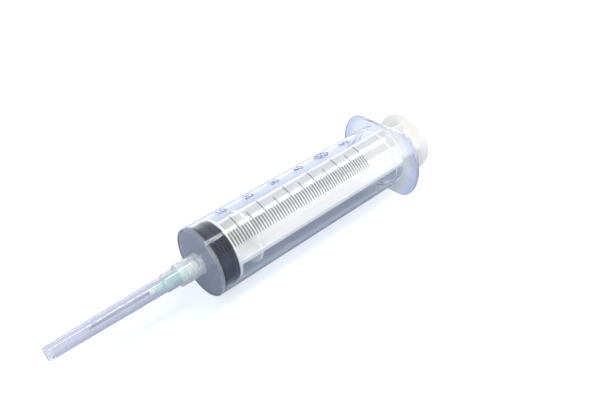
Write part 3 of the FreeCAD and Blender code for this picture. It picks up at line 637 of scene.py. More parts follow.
def moulding_group():
    """Soft waves and flow lines of moulded plastic: a height, and a roughness round a given middle."""
    tree = group_tree("moulded_skin", ("Roughness", "Height"), (("Roughness", 0.2), ("Change", 0.05)))
    source = add(tree, "NodeGroupInput")
    target = add(tree, "NodeGroupOutput")
    coordinates = object_place(tree)
    waves = noise(tree, coordinates, FLOW_WAVES)
    fine = noise(tree, coordinates, GRAIN_WAVES, 3.0)
    change = math_node(tree, "MULTIPLY", math_node(tree, "SUBTRACT", waves, 0.5), source.outputs["Change"])
    give(tree, target.inputs["Height"], math_node(tree, "MULTIPLY_ADD", fine, GRAIN_SHARE, waves))
    give(tree, target.inputs["Roughness"],
         math_node(tree, "MULTIPLY_ADD", change, 2.0, source.outputs["Roughness"], clamp=True))
    return tree


def handling_group():
    """Faint scuffs and dust from handling: a mask of fine, sparse marks."""
    tree = group_tree("handling_marks", ("Mask",))
    coordinates = object_place(tree)
    fine = ranged(tree, noise(tree, coordinates, SCUFF_WAVES, 4.0), *SCUFF_RANGE, 0.0, 1.0)
    wide = ranged(tree, noise(tree, coordinates, PATCH_WAVES), *PATCH_RANGE, 0.0, 1.0)
    target = add(tree, "NodeGroupOutput")
    give(tree, target.inputs["Mask"], math_node(tree, "MULTIPLY", fine, wide))
    return tree


def shared(tree, name, builder):
    """A node that uses a shared group, which is built on first use."""
    node = add(tree, "ShaderNodeGroup")
    node.node_tree = bpy.data.node_groups.get(name) or builder()
    return node


def blended_tone(tree, factor, first, second):
    """A colour between two, by a factor."""
    mix = add(tree, "ShaderNodeMix", data_type="RGBA")
    mix.inputs[6].default_value = (*first, 1.0)
    mix.inputs[7].default_value = (*second, 1.0)
    tree.links.new(factor, mix.inputs[0])
    return mix.outputs[2]


def axis_distance(tree):
    """Distance from the syringe's axis."""
    parts = add(tree, "ShaderNodeSeparateXYZ")
    tree.links.new(object_place(tree), parts.inputs[0])
    up = math_node(tree, "SUBTRACT", parts.outputs["Z"], AXIS)
    squares = math_node(tree, "ADD", math_node(tree, "POWER", parts.outputs["Y"], 2.0),
                        math_node(tree, "POWER", up, 2.0))
    return math_node(tree, "SQRT", squares)


def flange_rings_and_painted_shade(tree, look, roughness, height):
    """The flange gets a painted bluish shade towards the wings' ends, standing in for the dim floor seen
    through them, and has faint rings.
    """
    reach = axis_distance(tree)
    rings = math_node(tree, "SINE", math_node(tree, "MULTIPLY", reach, look.flange_rings))
    wing_shade = ranged(tree, reach, look.wing_shade_start, look.wing_shade_end, 0.0, 1.0)
    return (blended_tone(tree, wing_shade, look.barrel, look.flange), roughness,
            math_node(tree, "MULTIPLY_ADD", rings, look.ring_share, height))


def rubber_parts(tree, look, roughness, height):
    """The rubber is black and dull where it presses on the barrel."""
    pressed = ranged(tree, axis_distance(tree), look.pressed_start, look.pressed_end, 0.0, 1.0)
    return (blended_tone(tree, pressed, look.rubber, look.pressed),
            math_node(tree, "MULTIPLY_ADD", pressed, look.pressed_dull, roughness, clamp=True), height)


def steel_parts(tree, look, roughness, height):
    """The steel has fine drawn lines along the tube, in place of a moulded skin."""
    return None, roughness, noise(tree, object_place(tree), DRAWN_WAVES, 3.0)


class Finish(NamedTuple):
    """A finish: its colour as named in the looks, its skin, its clearness, and what else the shader takes.

    Change is how far the roughness wanders, depth the relief's height, through the share that is clear, bend
    its index of refraction, and passes the share of light that a clear wall lets straight in. Parts is a
    function that paints the finish or changes its skin.
    """

    colour: str
    roughness: float
    change: float
    bump: float
    depth: float = 2e-5
    scuffed: tuple = ()
    through: float = 0.0
    bend: float = 1.49
    passes: float = 0.0
    sockets: dict = {}
    parts: Callable | None = None


FINISHES = {
    "barrel_plastic": Finish("barrel", 0.08, 0.008, 0.002, through=0.995, bend=1.40, passes=0.9),
    "barrel_frosted": Finish("frosted", 0.26, 0.04, 0.03, through=0.76, passes=0.7),
    # Its parts paint a bluish shade on the wings' ends
    "barrel_flange": Finish("barrel", 0.12, 0.04, 0.05, through=0.8, bend=1.40, passes=0.85,
                            parts=flange_rings_and_painted_shade),
    "barrel_collar": Finish("collar", 0.2, 0.04, 0.03, through=0.8, passes=0.8),
    "sheath_plastic": Finish("sheath", 0.08, 0.02, 0.0, through=0.82, passes=0.9),
    "hub_plastic": Finish("hub", 0.22, 0.05, 0.15, through=0.8, passes=0.85),
    "rod_plastic": Finish("rod", 0.36, 0.06, 0.15, sockets={
        "Subsurface Weight": 0.25, "Subsurface Radius": (1.0, 1.0, 1.0), "Subsurface Scale": 0.0015}),
    "glue": Finish("glue", 0.3, 0.08, 0.3, depth=5e-5, sockets={
        "Subsurface Weight": 0.4, "Subsurface Radius": (1.0, 1.0, 1.0), "Subsurface Scale": 0.0008}),
    "stopper_rubber": Finish("rubber", 0.25, 0.06, 0.1, sockets={"Specular IOR Level": 0.12},
                             parts=rubber_parts),
    "scale_ink": Finish("ink", 0.16, 0.03, 0.02, scuffed=(0.035, 0.035, 0.04),
                        sockets={"Specular IOR Level": 0.5}),
    # The numbers' blue tone and blue scuffs are a painted reflection on black ink
    "number_ink": Finish("number_ink", 0.5, 0.06, 0.1, scuffed=(0.04, 0.06, 0.15),
                         sockets={"Specular IOR Level": 0.2}),
    # Its dark colour is a painted reflection of dim surroundings on the steel
    "needle_steel": Finish("steel", 0.2, 0.06, 0.25, depth=1e-5, sockets={"Metallic": 1.0},
                           parts=steel_parts),
}


def finish_material(name, look):
    """A material as its finish says. A clear wall lets a share of the light on it go straight inside."""
    finish = FINISHES[name]
    material = bpy.data.materials.new("syringe_" + name)
    material.use_nodes = True
    tree = material.node_tree
    shader = tree.nodes["Principled BSDF"]
    skin = shared(tree, "moulded_skin", moulding_group)
    skin.inputs["Roughness"].default_value = finish.roughness
    skin.inputs["Change"].default_value = finish.change
    parts = None, skin.outputs["Roughness"], skin.outputs["Height"]
    if finish.parts:
        parts = finish.parts(tree, look, *parts[1:])
    painted, roughness, height = parts
    if painted is None:
        colour = tuple(getattr(look, finish.colour))
        marks = shared(tree, "handling_marks", handling_group)
        scuffed = finish.scuffed or tuple(SCUFFED_SHARE * c for c in colour)
        painted = blended_tone(tree, marks.outputs["Mask"], colour, scuffed)
    relief = add(tree, "ShaderNodeBump")
    relief.inputs["Strength"].default_value = finish.bump
    relief.inputs["Distance"].default_value = finish.depth
    tree.links.new(height, relief.inputs["Height"])
    tree.links.new(painted, shader.inputs["Base Color"])
    tree.links.new(roughness, shader.inputs["Roughness"])
    tree.links.new(relief.outputs["Normal"], shader.inputs["Normal"])
    for socket, value in finish.sockets.items():
        shader.inputs[socket].default_value = value
    if finish.through:
        shader.inputs["Transmission Weight"].default_value = finish.through
        shader.inputs["IOR"].default_value = finish.bend
        path = add(tree, "ShaderNodeLightPath")
        lighting = math_node(tree, "MAXIMUM", path.outputs["Is Shadow Ray"], path.outputs["Is Diffuse Ray"])
        give(tree, shader.inputs["Alpha"], math_node(tree, "MULTIPLY_ADD", lighting, -finish.passes, 1.0))
    return material


def dress(item, node, body, slot, look, finish=None):
    """Gives a piece its material and its body, and hides the built part that it stands for."""
    finish = finish or slot
    item.data.materials.append(bpy.data.materials.get("syringe_" + finish) or finish_material(finish, look))
    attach(item, body)
    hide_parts(node)
    return item


# Barrel
def barrel_section(size):
    """The barrel's half section: passage, tip, collar, front face, tube, flange, bead and bore."""
    small = size.edge_round
    root = size.tip_radius + size.tip_slope * size.tip_length
    bead = size.tube - size.bead_inset
    half = size.bead_width / 2.0
    flange = size.tube - size.flange_thickness
    threads = np.arange(THREAD_MARGIN - size.thread_first, -size.thread_last - THREAD_MARGIN, -THREAD_STEP)
    head = [
        (size.front_wall, size.tip_bore, small),
        (-size.tip_length, size.tip_bore, small),
        (-size.tip_length, size.tip_radius, small),
        (0.0, root, small),
        (0.0, size.collar_bore, small),
        (-size.window_front, size.collar_bore, 0.0),
        (-size.window_rear, size.collar_bore, 0.0),
    ]
    head += [(t, size.collar_bore, 0.0) for t in threads]
    head += [
        (-size.collar_length, size.collar_bore, small),
        (-size.collar_length, size.collar_radius, size.collar_round),
        (-size.window_rear, size.collar_radius, 0.0),
        (-size.window_front, size.collar_radius, 0.0),
        (0.0, size.collar_radius, small),
        (0.0, size.radius, size.front_round),
        (flange, size.radius, small),
        (flange, size.flange_radius, size.flange_edge),
        (size.tube, size.flange_radius, size.flange_edge),
        (size.tube, size.bore + size.mouth_flare, small),
        (size.tube - size.mouth_flare, size.bore, small),
        (bead + half, size.bore, small),
        (bead, size.bore - size.bead_height, small),
        (bead - half, size.bore, small),
        (size.front_wall, size.bore, 2.0 * small),
    ]
    return rounded(head, True)


def window_columns(size, delta):
    """Moves the nearest steps to the windows' sides and gives each window's first and last column."""
    spans = []
    for turn in (size.window_turn, size.window_turn + math.pi):
        ends = []
        for side in (-0.5, 0.5):
            wanted = turn + side * size.window_span
            column = int(np.argmin(np.abs(delta - wanted)))
            delta[column] = wanted
            ends.append(column)
        spans.append(ends)
    return spans


def row_at(section, t, r):
    """The row of a half section that lies at a place and radius."""
    gap = np.abs(section[:, 0] - t) + np.abs(section[:, 1] - r)
    row = int(np.argmin(gap))
    if gap[row] > NEAR:
        raise ValueError("no row of the section lies at this place")
    return row


def build_barrel(size):
    """The barrel's skin, with the collar's two windows opened and their walls closed."""
    section = barrel_section(size)
    delta = around(size.segments)
    spans = window_columns(size, delta)
    t, r = section[:, :1], section[:, 1:]
    near = size.radius + FLANGE_ROOT
    rim = size.flange_radius - size.flange_edge
    reach = flange_reach(size, delta)[None, :]
    part = (r - near) / (rim - near)
    middle = near + part * (reach - size.flange_edge - near)
    outer = reach - (size.flange_radius - r)
    r = np.where(r > rim - NEAR, outer, np.where(r > near, middle, r))
    inside = (np.abs(r - size.collar_bore) < NEAR) & (t < -size.window_rear - PAST)
    r = np.where(inside, r - thread_height(size, t, delta[None, :]), r)
    points = places(t, r, delta[None, :])
    rows, columns = points.shape[:2]
    skip = np.zeros((rows, columns), dtype=bool)
    inner = row_at(section, -size.window_front, size.collar_bore)
    outside = row_at(section, -size.window_rear, size.collar_radius)
    walls = []
    for first, last in spans:
        skip[inner, first:last] = True
        skip[outside, first:last] = True
        j = np.arange(first, last)
        front_in, rear_in = inner * columns, (inner + 1) * columns
        rear_out, front_out = outside * columns, (outside + 1) * columns
        walls += [
            quads_of(front_out + j + 1, front_out + j, front_in + j, front_in + j + 1),
            quads_of(rear_out + j, rear_out + j + 1, rear_in + j + 1, rear_in + j),
            np.array([
                [front_out + first, rear_out + first, rear_in + first, front_in + first],
                [rear_out + last, front_out + last, front_in + last, rear_in + last],
            ]),
        ]
    quads = np.concatenate([grid_faces(rows, columns, True, skip)] + walls)
    return mesh_object("syringe_barrel", points.reshape(-1, 3), quads)


def finish_of_faces(item, size):
    """1 for each face of the front wall, 2 for the flange, 3 for the tip and collar, and 0 for the rest."""
    centre = np.empty(len(item.data.polygons) * 3)
    item.data.polygons.foreach_get("center", centre)
    centre = centre.reshape(-1, 3)
    t = centre[:, 0] + START
    reach = np.hypot(centre[:, 1], centre[:, 2] - AXIS)
    inside = (reach < size.bore - size.edge_round) & (t < size.tube / 2.0)
    front = inside | ((t < size.front_round) & (reach > size.collar_radius + PAST))
    return np.select([t < -PAST, front, reach > size.radius + PAST], [3, 1, 2], 0).astype(np.int32)


# Printed scale
def ink_patch(t, delta, low, high):
    """A thin closed layer over a strip given as two matching edges: (2, n) places and angles."""
    columns = t.shape[1]
    shells = [places(t, radius, delta) for radius in (low, high)]
    points = np.concatenate([shell.reshape(-1, 3) for shell in shells])
    edge = 2 * columns
    j = np.arange(columns - 1)
    last = columns - 1
    quads = np.concatenate([
        quads_of(edge + j, edge + j + 1, edge + columns + j + 1, edge + columns + j),
        quads_of(j, columns + j, columns + j + 1, j + 1),
        quads_of(j, j + 1, edge + j + 1, edge + j),
        quads_of(columns + j + 1, columns + j, edge + columns + j, edge + columns + j + 1),
        np.array([
            [0, edge, edge + columns, columns],
            [columns + last, edge + columns + last, edge + last, last],
        ]),
    ])
    if volume_of(points - points.mean(axis=0), quads, np.zeros((0, 3), dtype=int)) < 0.0:
        quads = quads[:, ::-1]
    return points, quads


def joined(name, patches):
    """One object from several closed patches."""
    points = []
    quads = []
    count = 0
    for part_points, part_quads in patches:
        points.append(part_points)
        quads.append(part_quads + count)
        count += len(part_points)
    return mesh_object(name, np.concatenate(points), np.concatenate(quads))


def ribbon(line, half):
    """The two edges of a stroke of even width with round ends, along a centre line of (n, 2) points.

    Near an end the half width shrinks as sqrt(q^2 - s^2), where s is how far the point lies past the end of
    the stroke's straight part and q is the half width.
    """
    run = np.gradient(line, axis=0)
    run /= np.linalg.norm(run, axis=1, keepdims=True)
    side = np.stack([-run[:, 1], run[:, 0]], axis=1)
    swell = np.linspace(0.0, 1.0, CAP_ROWS + 1)[:-1]
    caps = [np.sin(swell * math.pi / 2.0), np.cos(swell * math.pi / 2.0)]
    start = line[0] - run[0] * half * caps[1][:, None]
    end = line[-1] + run[-1] * half * caps[1][::-1][:, None]
    centre = np.concatenate([start, line, end])
    sides = np.concatenate([np.repeat(side[:1], CAP_ROWS, 0), side, np.repeat(side[-1:], CAP_ROWS, 0)])
    cap = np.maximum(caps[0], CAP_LEAST)
    width = np.concatenate([cap, np.ones(len(line)), cap[::-1]]) * half
    return np.stack([centre - sides * width[:, None], centre + sides * width[:, None]])


def straight_line(first, last, count=7):
    """Points evenly along a straight stroke."""
    part = np.linspace(0.0, 1.0, count)[:, None]
    return np.array(first) * (1.0 - part) + np.array(last) * part


def bow(middle, radius, first, last, count=25):
    """Points along a round stroke, between two angles in degrees."""
    turn = np.radians(np.linspace(first, last, count))
    return np.array(middle) + radius * np.stack([np.cos(turn), np.sin(turn)], axis=1)


def digit_lines(number, left, foot, wide, high):
    """Centre lines of the strokes of a digit from 0 to 6, in a box with its lower left corner at left, foot.

    Fractions are shares of the box's width or height, and the angles of bows are in degrees.
    """
    bowl = wide / 2.0
    mid = left + bowl
    right = left + wide
    top = foot + high
    if number == 0:
        upper = bow((mid, top - bowl), bowl, 0, 180)
        lower = bow((mid, foot + bowl), bowl, 180, 360)
        return [np.concatenate([upper, lower, upper[:1]])]
    if number == 1:
        return [straight_line((mid, foot), (mid, top)),
                straight_line((mid, top), (left + 0.1 * wide, top - 0.3 * wide))]
    if number == 2:
        head = bow((mid, top - bowl), bowl, 170, -35)
        return [np.concatenate([head, straight_line(head[-1], (left, foot))[1:]]),
                straight_line((left, foot), (right, foot))]
    if number == 3:
        upper = 0.235 * high
        lower = 0.265 * high
        return [bow((mid, top - upper), upper, -90, 160), bow((mid, foot + lower), lower, -160, 90)]
    if number == 4:
        stem = left + 0.72 * wide
        bar = foot + 0.3 * high
        return [straight_line((stem, foot), (stem, top)), straight_line((stem, top), (left, bar)),
                straight_line((left, bar), (right, bar))]
    if number == 5:
        belly = 0.3 * high
        bowed = bow((right - belly, foot + belly), belly, -145, 140)
        corner = (left + 0.12 * wide, top)
        return [bowed, straight_line(bowed[-1], corner), straight_line(corner, (right, top))]
    ring = bow((mid, foot + bowl), bowl, 0, 360, 49)
    head = bow((mid, top - bowl), bowl, 35, 180)
    return [ring, np.concatenate([head, straight_line(head[-1], (left, foot + bowl))[1:]])]


def printed(size, radius, line, width, place, turn, rise=0.0):
    """A stroke printed on the barrel: x of its line runs along the axis, and y round it, up from turn."""
    edges = ribbon(line, width / 2.0)
    low = radius + size.lift
    return ink_patch(place + edges[..., 0], turn - edges[..., 1] / radius, low + rise,
                     low + size.thickness + rise)


def millilitre_step(barrel):
    """Length of the bore that holds one millilitre: V / (pi r^2)."""
    return MILLILITRE / (math.pi * barrel.bore ** 2)


def build_marks(size, barrel):
    """One curved line of ink for each millilitre."""
    step = millilitre_step(barrel)
    radius = barrel.radius
    patches = []
    for number in range(1, size.count + 1):
        last = size.ten if number % 10 == 0 else size.five if number % 5 == 0 else size.one
        across = (size.low - last) * radius
        line = straight_line((0.0, 0.0), (0.0, across), 2 + int(across / MARK_STEP))
        place = size.zero + step * number
        patches.append(printed(size, radius, line[1:-1], size.line, place, size.low))
    return joined("syringe_scale_marks", patches)


def build_numbers(size, barrel):
    """The numbers beside every tenth mark, and the ring round the fifty."""
    step = millilitre_step(barrel)
    radius = barrel.radius
    patches = []
    wide = size.number_wide
    high = size.number_high
    for ten in range(1, size.count // 10 + 1):
        place = size.zero + step * 10 * ten
        lines = []
        for side, number in ((-1, ten), (1, 0)):
            left = side * size.number_gap / 2.0 - wide / 2.0
            lines += digit_lines(number, left, -high / 2.0, wide, high)
        if ten == 5:
            turn = np.linspace(0.0, 2.0 * math.pi, RING_ROWS)
            lines.append(np.stack([size.ring_long * np.cos(turn), size.ring_high * np.sin(turn)], axis=1))
        for index, line in enumerate(lines):
            rise = STROKE_RISE * (index % STROKE_LEVELS)
            patches.append(printed(size, radius, line, size.stroke, place, size.number_turn, rise))
    return joined("syringe_scale_numbers", patches)


# Stopper and rod
def build_stopper(size):
    """A lathe: front face, two sealing rings with lands between them, and the hollow for the rod's head."""
    front = size.stopper_front
    rear = front + size.stopper_length
    ring = size.stopper_radius
    land = ring - size.land_depth
    small = size.small_round
    section = rounded([
        (front, POLE, 0.0),
        (front, ring, size.stopper_round),
        (front + size.front_ring_end, ring, small),
        (front + size.land_start, land, size.edge_round),
        (front + size.land_end, land, size.edge_round),
        (front + size.rear_ring_start, ring, small),
        (front + size.rear_ring_end, ring, small),
        (front + size.tail_start, land, size.edge_round),
        (rear, land, size.edge_round),
        (rear, size.cavity_mouth, small),
        (size.cavity_rear, size.cavity_mouth, small),
        (size.cavity_rear, size.cavity_radius, small),
        (size.cavity_front, size.cavity_radius, small),
        (size.cavity_front, POLE, 0.0),
    ], False)
    delta = around(STOPPER_STEPS)
    return capped_object("syringe_stopper", section[:, :1], section[:, 1:], delta[None, :])


def soft_least(first, second, width):
    """The smaller of two values, with the change between them rounded over a width."""
    part = np.clip(0.5 + 0.5 * (second - first) / width, 0.0, 1.0)
    return second * (1.0 - part) + first * part - width * part * (1.0 - part)


def crossed(reach, thickness, soft, delta):
    """Axis to the skin of crossed ribs: reach / cos a at a rib's edge and h / sin a on its sides.

    Here a is the angle from the nearest of the four ribs and h is half a rib's thickness.
    """
    from_rib = np.abs((delta + math.pi / 4.0) % (math.pi / 2.0) - math.pi / 4.0)
    flank = thickness / 2.0 / np.maximum(np.sin(from_rib), LEAST_SINE)
    return soft_least(reach / np.cos(from_rib), flank, soft)


def rib_angles(size):
    """Steps round the rod, close together at the ribs' edges.

    The near ones are shares of the angle to a rib's edge, and the far ones are degrees from a rib's middle.
    """
    half = math.degrees(math.atan(size.rib_thickness / 2.0 / size.rib_radius))
    near = half * np.array([0.0, 0.35, 0.62, 0.78, 0.87, 0.93, 0.97, 1.0, 1.03, 1.07, 1.13, 1.22, 1.4, 1.65])
    far = np.arange(7.5, 44.0, 1.875)
    eighth = np.concatenate([near, far, [45.0]])
    quarter = np.concatenate([eighth, 90.0 - eighth[-2:0:-1]])
    return np.radians(np.concatenate([quarter + 90.0 * k for k in range(4)]))


def build_rod(size):
    """One skin from the snap head to the thumb disc, with round rows for the discs and crossed ones for ribs.

    A row's radius is the larger of the half section's and, between the discs, that of the ribs and core.
    """
    delta = rib_angles(size)
    small = size.small_round
    edge = size.edge_round
    press_rear = size.press_front + size.press_thickness
    web_rear = size.web_front + size.web_thickness
    shoulder_rear = size.shoulder_front + size.shoulder_length
    slope = [size.shoulder_front - GUARD, size.shoulder_front, size.shoulder_front + GUARD,
             size.shoulder_front + size.shoulder_length / 2.0, shoulder_rear - GUARD, shoulder_rear,
             shoulder_rear + GUARD]
    section = rounded([
        (size.head_front, POLE, 0.0),
        (size.head_front, size.head_radius, edge),
        (size.head_rear, size.head_radius, edge),
        (size.head_rear, size.neck_radius, small),
        (size.press_front, size.neck_radius, small),
        (size.press_front, size.press_radius, edge),
        (press_rear, size.press_radius, edge),
        (press_rear, 0.0, 0.0),
        (size.web_front, 0.0, 0.0),
        (size.web_front, size.web_radius, small),
        (web_rear, size.web_radius, small),
        (web_rear, 0.0, 0.0),
    ] + [(t, 0.0, 0.0) for t in slope] + [
        (size.thumb_front, 0.0, 0.0),
        (size.thumb_front, size.thumb_radius, size.thumb_round),
        (size.thumb_front + size.thumb_thickness, size.thumb_radius, size.thumb_round),
        (size.thumb_front + size.thumb_thickness, POLE, 0.0),
    ], False)
    t, round_r = section[:, :1], section[:, 1:]
    narrowed = smooth_step((t - size.shoulder_front) / size.shoulder_length)
    reach = size.rib_radius + (size.rib_rear_radius - size.rib_radius) * narrowed
    skin = crossed(reach, size.rib_thickness, size.rib_soft, delta[None, :])
    ribbed = (t >= press_rear - NEAR) & (t <= size.thumb_front + NEAR)
    r = np.where(ribbed, np.maximum(np.maximum(skin, size.core_radius), round_r), round_r)
    return capped_object("syringe_plunger_rod", t, r, delta[None, :])


# Hub, glue, needle and sheath
def build_hub(size):
    """The hub: socket, body with two lugs, nose with four fins, and the glue well."""
    nose = -size.hub_nose
    fin_end = nose + size.fin_short
    lug_rear = -size.hub_mouth - size.lug_thickness
    small = size.hub_round
    section = rounded([
        (-size.hub_mouth, size.socket_mouth_radius, small),
        (-size.hub_mouth, size.hub_radius, small),
        (lug_rear, size.hub_radius, 0.0),
        (lug_rear - PAST, size.hub_radius, 0.0),
        (lug_rear - 1.5 * GUARD, size.hub_radius, 0.0),
        (-size.hub_shoulder, size.hub_radius, size.shoulder_round),
        (-size.hub_shoulder, size.core_radius, small),
        (fin_end, size.core_radius, 0.0),
        (fin_end - PAST, size.core_radius, 0.0),
        (nose, size.core_radius, size.shoulder_round),
        (nose, size.well_radius, small),
        (-size.well_end, size.well_radius, 0.0),
        (-size.well_end, size.passage, 0.0),
        (-size.socket_end, size.passage, 0.0),
        (-size.socket_end, size.socket_end_radius, small),
    ], True)
    base = around(HUB_STEPS)[None, :]
    t, core = section[:, :1], section[:, 1:]
    from_lug = np.abs((base + math.pi / 2.0) % math.pi - math.pi / 2.0)
    lug = smooth_step((size.lug_span / 2.0 - from_lug) / LUG_FADE)
    on_lug = (t > lug_rear - PAST / 2.0) & (core > size.hub_radius - NEAR)
    r = np.where(on_lug, core + (size.lug_radius - size.hub_radius) * lug, core)
    part = np.clip((-size.hub_shoulder - t) / (-size.hub_shoulder - fin_end), 0.0, 1.0)
    reach = size.fin_radius + (size.fin_nose_radius - size.fin_radius) * part
    finned = crossed(reach, size.fin_thickness, size.fin_soft, base)
    on_fin = (t < -size.hub_shoulder + NEAR) & (t > fin_end - PAST / 2.0) & (core > size.core_radius - NEAR)
    r = np.where(on_fin, np.maximum(r, finned), r)
    return ring_object("syringe_needle_hub", t, r, base)


def build_glue(size):
    """The plug in the well, with a soft dome round the needle."""
    nose = -size.hub_nose
    end = nose - size.glue_dome
    foot = -size.well_end - size.glue_gap
    inner = size.needle_radius + size.glue_bore_gap
    wide = size.well_radius - size.glue_gap
    turn = np.linspace(0.0, math.pi / 2.0, DOME_ROWS)
    dome = [(nose - size.glue_dome * math.sin(a), size.glue_tip + (wide - size.glue_tip) * math.cos(a), 0.0)
            for a in turn]
    section = rounded([
        (foot, inner, 0.0),
        (foot, wide, 0.0),
    ] + dome + [
        (end, inner + size.glue_bevel, 0.0),
        (end + size.glue_bevel, inner, 0.0),
    ], True)
    return ring_object("syringe_hub_glue", section[:, :1], section[:, 1:], around(GLUE_STEPS)[None, :])


def build_needle(size):
    """The tube, with its point ground on a slope.

    At height z over its middle an end row lies at point + bevel (z + q) / 2q, where q is its radius.
    """
    point = -size.needle_point
    rear = -size.needle_rear
    ground_end = point + size.bevel + GUARD
    section = np.array([
        (rear, size.needle_bore),
        (rear, size.needle_radius),
        (rear - GUARD / 2.0, size.needle_radius),
        (ground_end, size.needle_radius),
        (point, size.needle_radius),
        (point, size.needle_bore),
        (ground_end, size.needle_bore),
    ])
    delta = around(NEEDLE_STEPS)
    t, r = section[:, :1], section[:, 1:]
    ground = np.abs(t - point) < NEAR
    height = r * np.cos(delta)[None, :]
    t = np.where(ground, point + size.bevel * (height + size.needle_radius) / (2.0 * size.needle_radius), t)
    return ring_object("syringe_needle_tube", t, r, delta[None, :])


def build_sheath(size):
    """The closed cap: a lathe with fine ridges along the inside of its slim part.

    The mouth is the row furthest back, and of several the widest. A ridge rises as (0.5 + 0.5 cos n d)^2.
    """
    section = rounded([
        (-size.sheath_tip, FINE_POLE, 0.0),
        (-size.sheath_tip, size.sheath_tip_radius, size.sheath_round),
        (-size.sheath_slim, size.sheath_slim_radius, size.step_round),
        (-size.sheath_wide_end, size.sheath_wide, size.step_round),
        (-size.sheath_mouth, size.sheath_wide, size.mouth_round),
        (-size.sheath_mouth, size.sheath_bore, size.mouth_inside),
        (-size.sheath_wide_end, size.sheath_bore, size.wide_inside),
        (-size.sheath_slim, size.sheath_slim_bore, size.slim_inside),
        (-size.sheath_bore_end, size.sheath_tip_bore, size.end_inside),
        (-size.sheath_bore_end, FINE_POLE, 0.0),
    ], False)
    mouth = int(np.argmax(section[:, 0] + 1e-3 * section[:, 1]))
    delta = around(SHEATH_STEPS)
    t, r = section[:, :1], section[:, 1:]
    inner = (np.arange(len(section)) > mouth)[:, None]
    slim = (smooth_step((-size.sheath_slim - t) / FLUTE_RISE)
            * smooth_step((t + size.sheath_bore_end) / FLUTE_FADE))
    flute = 0.5 + 0.5 * np.cos(size.flutes * delta)[None, :]
    r = np.where(inner, r - size.flute_depth * flute ** 2 * slim, r)
    return capped_object("syringe_needle_sheath", t, r, delta[None, :])


# Steps
class SYRINGE_OT_barrel(Operator):
    """Builds the barrel with its tip, collar and flange"""

    bl_idname = "syringe.barrel"
    bl_label = "Build barrel"

    def execute(self, context):
        size, look = context.scene.syringe_barrel, context.scene.syringe_look
        item = dress(build_barrel(size), "barrel", "barrel", "barrel_plastic", look)
        for name in ("barrel_frosted", "barrel_flange", "barrel_collar"):
            item.data.materials.append(finish_material(name, look))
        item.data.polygons.foreach_set("material_index", finish_of_faces(item, size))
        return {"FINISHED"}


class SYRINGE_OT_scale(Operator):
    """Prints the marks and the numbers on the barrel"""

    bl_idname = "syringe.scale"
    bl_label = "Print scale"

    def execute(self, context):
        size, look = context.scene.syringe_scale, context.scene.syringe_look
        barrel = context.scene.syringe_barrel
        dress(build_marks(size, barrel), "scale_marks", "barrel", "scale_ink", look)
        dress(build_numbers(size, barrel), "scale_numbers", "barrel", "scale_ink", look, "number_ink")
        return {"FINISHED"}


class SYRINGE_OT_plunger(Operator):
    """Builds the stopper and the plunger rod"""

    bl_idname = "syringe.plunger"
    bl_label = "Build plunger"

    def execute(self, context):
        size, look = context.scene.syringe_plunger, context.scene.syringe_look
        dress(build_stopper(size), "stopper", "stopper", "stopper_rubber", look)
        dress(build_rod(size), "plunger_rod", "rod", "rod_plastic", look)
        return {"FINISHED"}


class SYRINGE_OT_needle(Operator):
    """Builds the hub, its glue and the needle"""

    bl_idname = "syringe.needle"
    bl_label = "Build needle"

    def execute(self, context):
        size, look = context.scene.syringe_needle, context.scene.syringe_look
        dress(build_hub(size), "needle_hub", "hub", "hub_plastic", look)
        dress(build_glue(size), "hub_glue", "needle", "glue", look)
        dress(build_needle(size), "needle_tube", "needle", "needle_steel", look)
        return {"FINISHED"}


class SYRINGE_OT_sheath(Operator):
    """Builds the cap over the needle"""

    bl_idname = "syringe.sheath"
    bl_label = "Build sheath"

    def execute(self, context):
        size, look = context.scene.syringe_needle, context.scene.syringe_look
        dress(build_sheath(size), "needle_sheath", "sheath", "sheath_plastic", look)
        return {"FINISHED"}


# Stage
def seen_through(tree, path):
    """1 for a ray that has gone through a clear piece or been mirrored by one."""
    return math_node(tree, "MAXIMUM", path.outputs["Is Transmission Ray"], path.outputs["Is Glossy Ray"])


def floor_material(stage):
    """A pale floor that glows towards the camera, so that it reads as white and keeps a soft shadow.

    To rays that come through clear pieces it is dimmer, most of all in a band under the syringe, which is a
    painted shadow of the syringe. Both kinds of glow rise to a plain white far away.
    """
    material = bpy.data.materials.new("studio_floor")
    material.use_nodes = True
    tree = material.node_tree
    shader = tree.nodes["Principled BSDF"]
    shader.inputs["Base Color"].default_value = (*stage.floor_tone, 1.0)
    shader.inputs["Roughness"].default_value = FLOOR_ROUGHNESS
    shader.inputs["Specular IOR Level"].default_value = FLOOR_GLOSS
    shader.inputs["Emission Color"].default_value = (1.0, 1.0, 1.0, 1.0)
    path = add(tree, "ShaderNodeLightPath")
    coordinates = object_place(tree)
    parts = add(tree, "ShaderNodeSeparateXYZ")
    tree.links.new(coordinates, parts.inputs[0])
    aside = math_node(tree, "ABSOLUTE", parts.outputs["Y"])
    # Painted shadow of the syringe for clear pieces: the least glow lies in a band under it
    inner = ranged(tree, aside, stage.painted_shadow_half, stage.beside_half, stage.floor_through_painted_shadow, stage.floor_beside)
    away = add(tree, "ShaderNodeVectorMath", operation="LENGTH")
    tree.links.new(coordinates, away.inputs[0])
    outer = ranged(tree, away.outputs["Value"], stage.floor_near, stage.floor_far, inner, 1.0)
    through = math_node(tree, "MULTIPLY", seen_through(tree, path), outer)
    glow = ranged(tree, away.outputs["Value"], stage.floor_near, stage.floor_far, stage.floor_glow, 1.0)
    tree.links.new(math_node(tree, "MULTIPLY_ADD", path.outputs["Is Camera Ray"], glow, through),
                   shader.inputs["Emission Strength"])
    return material


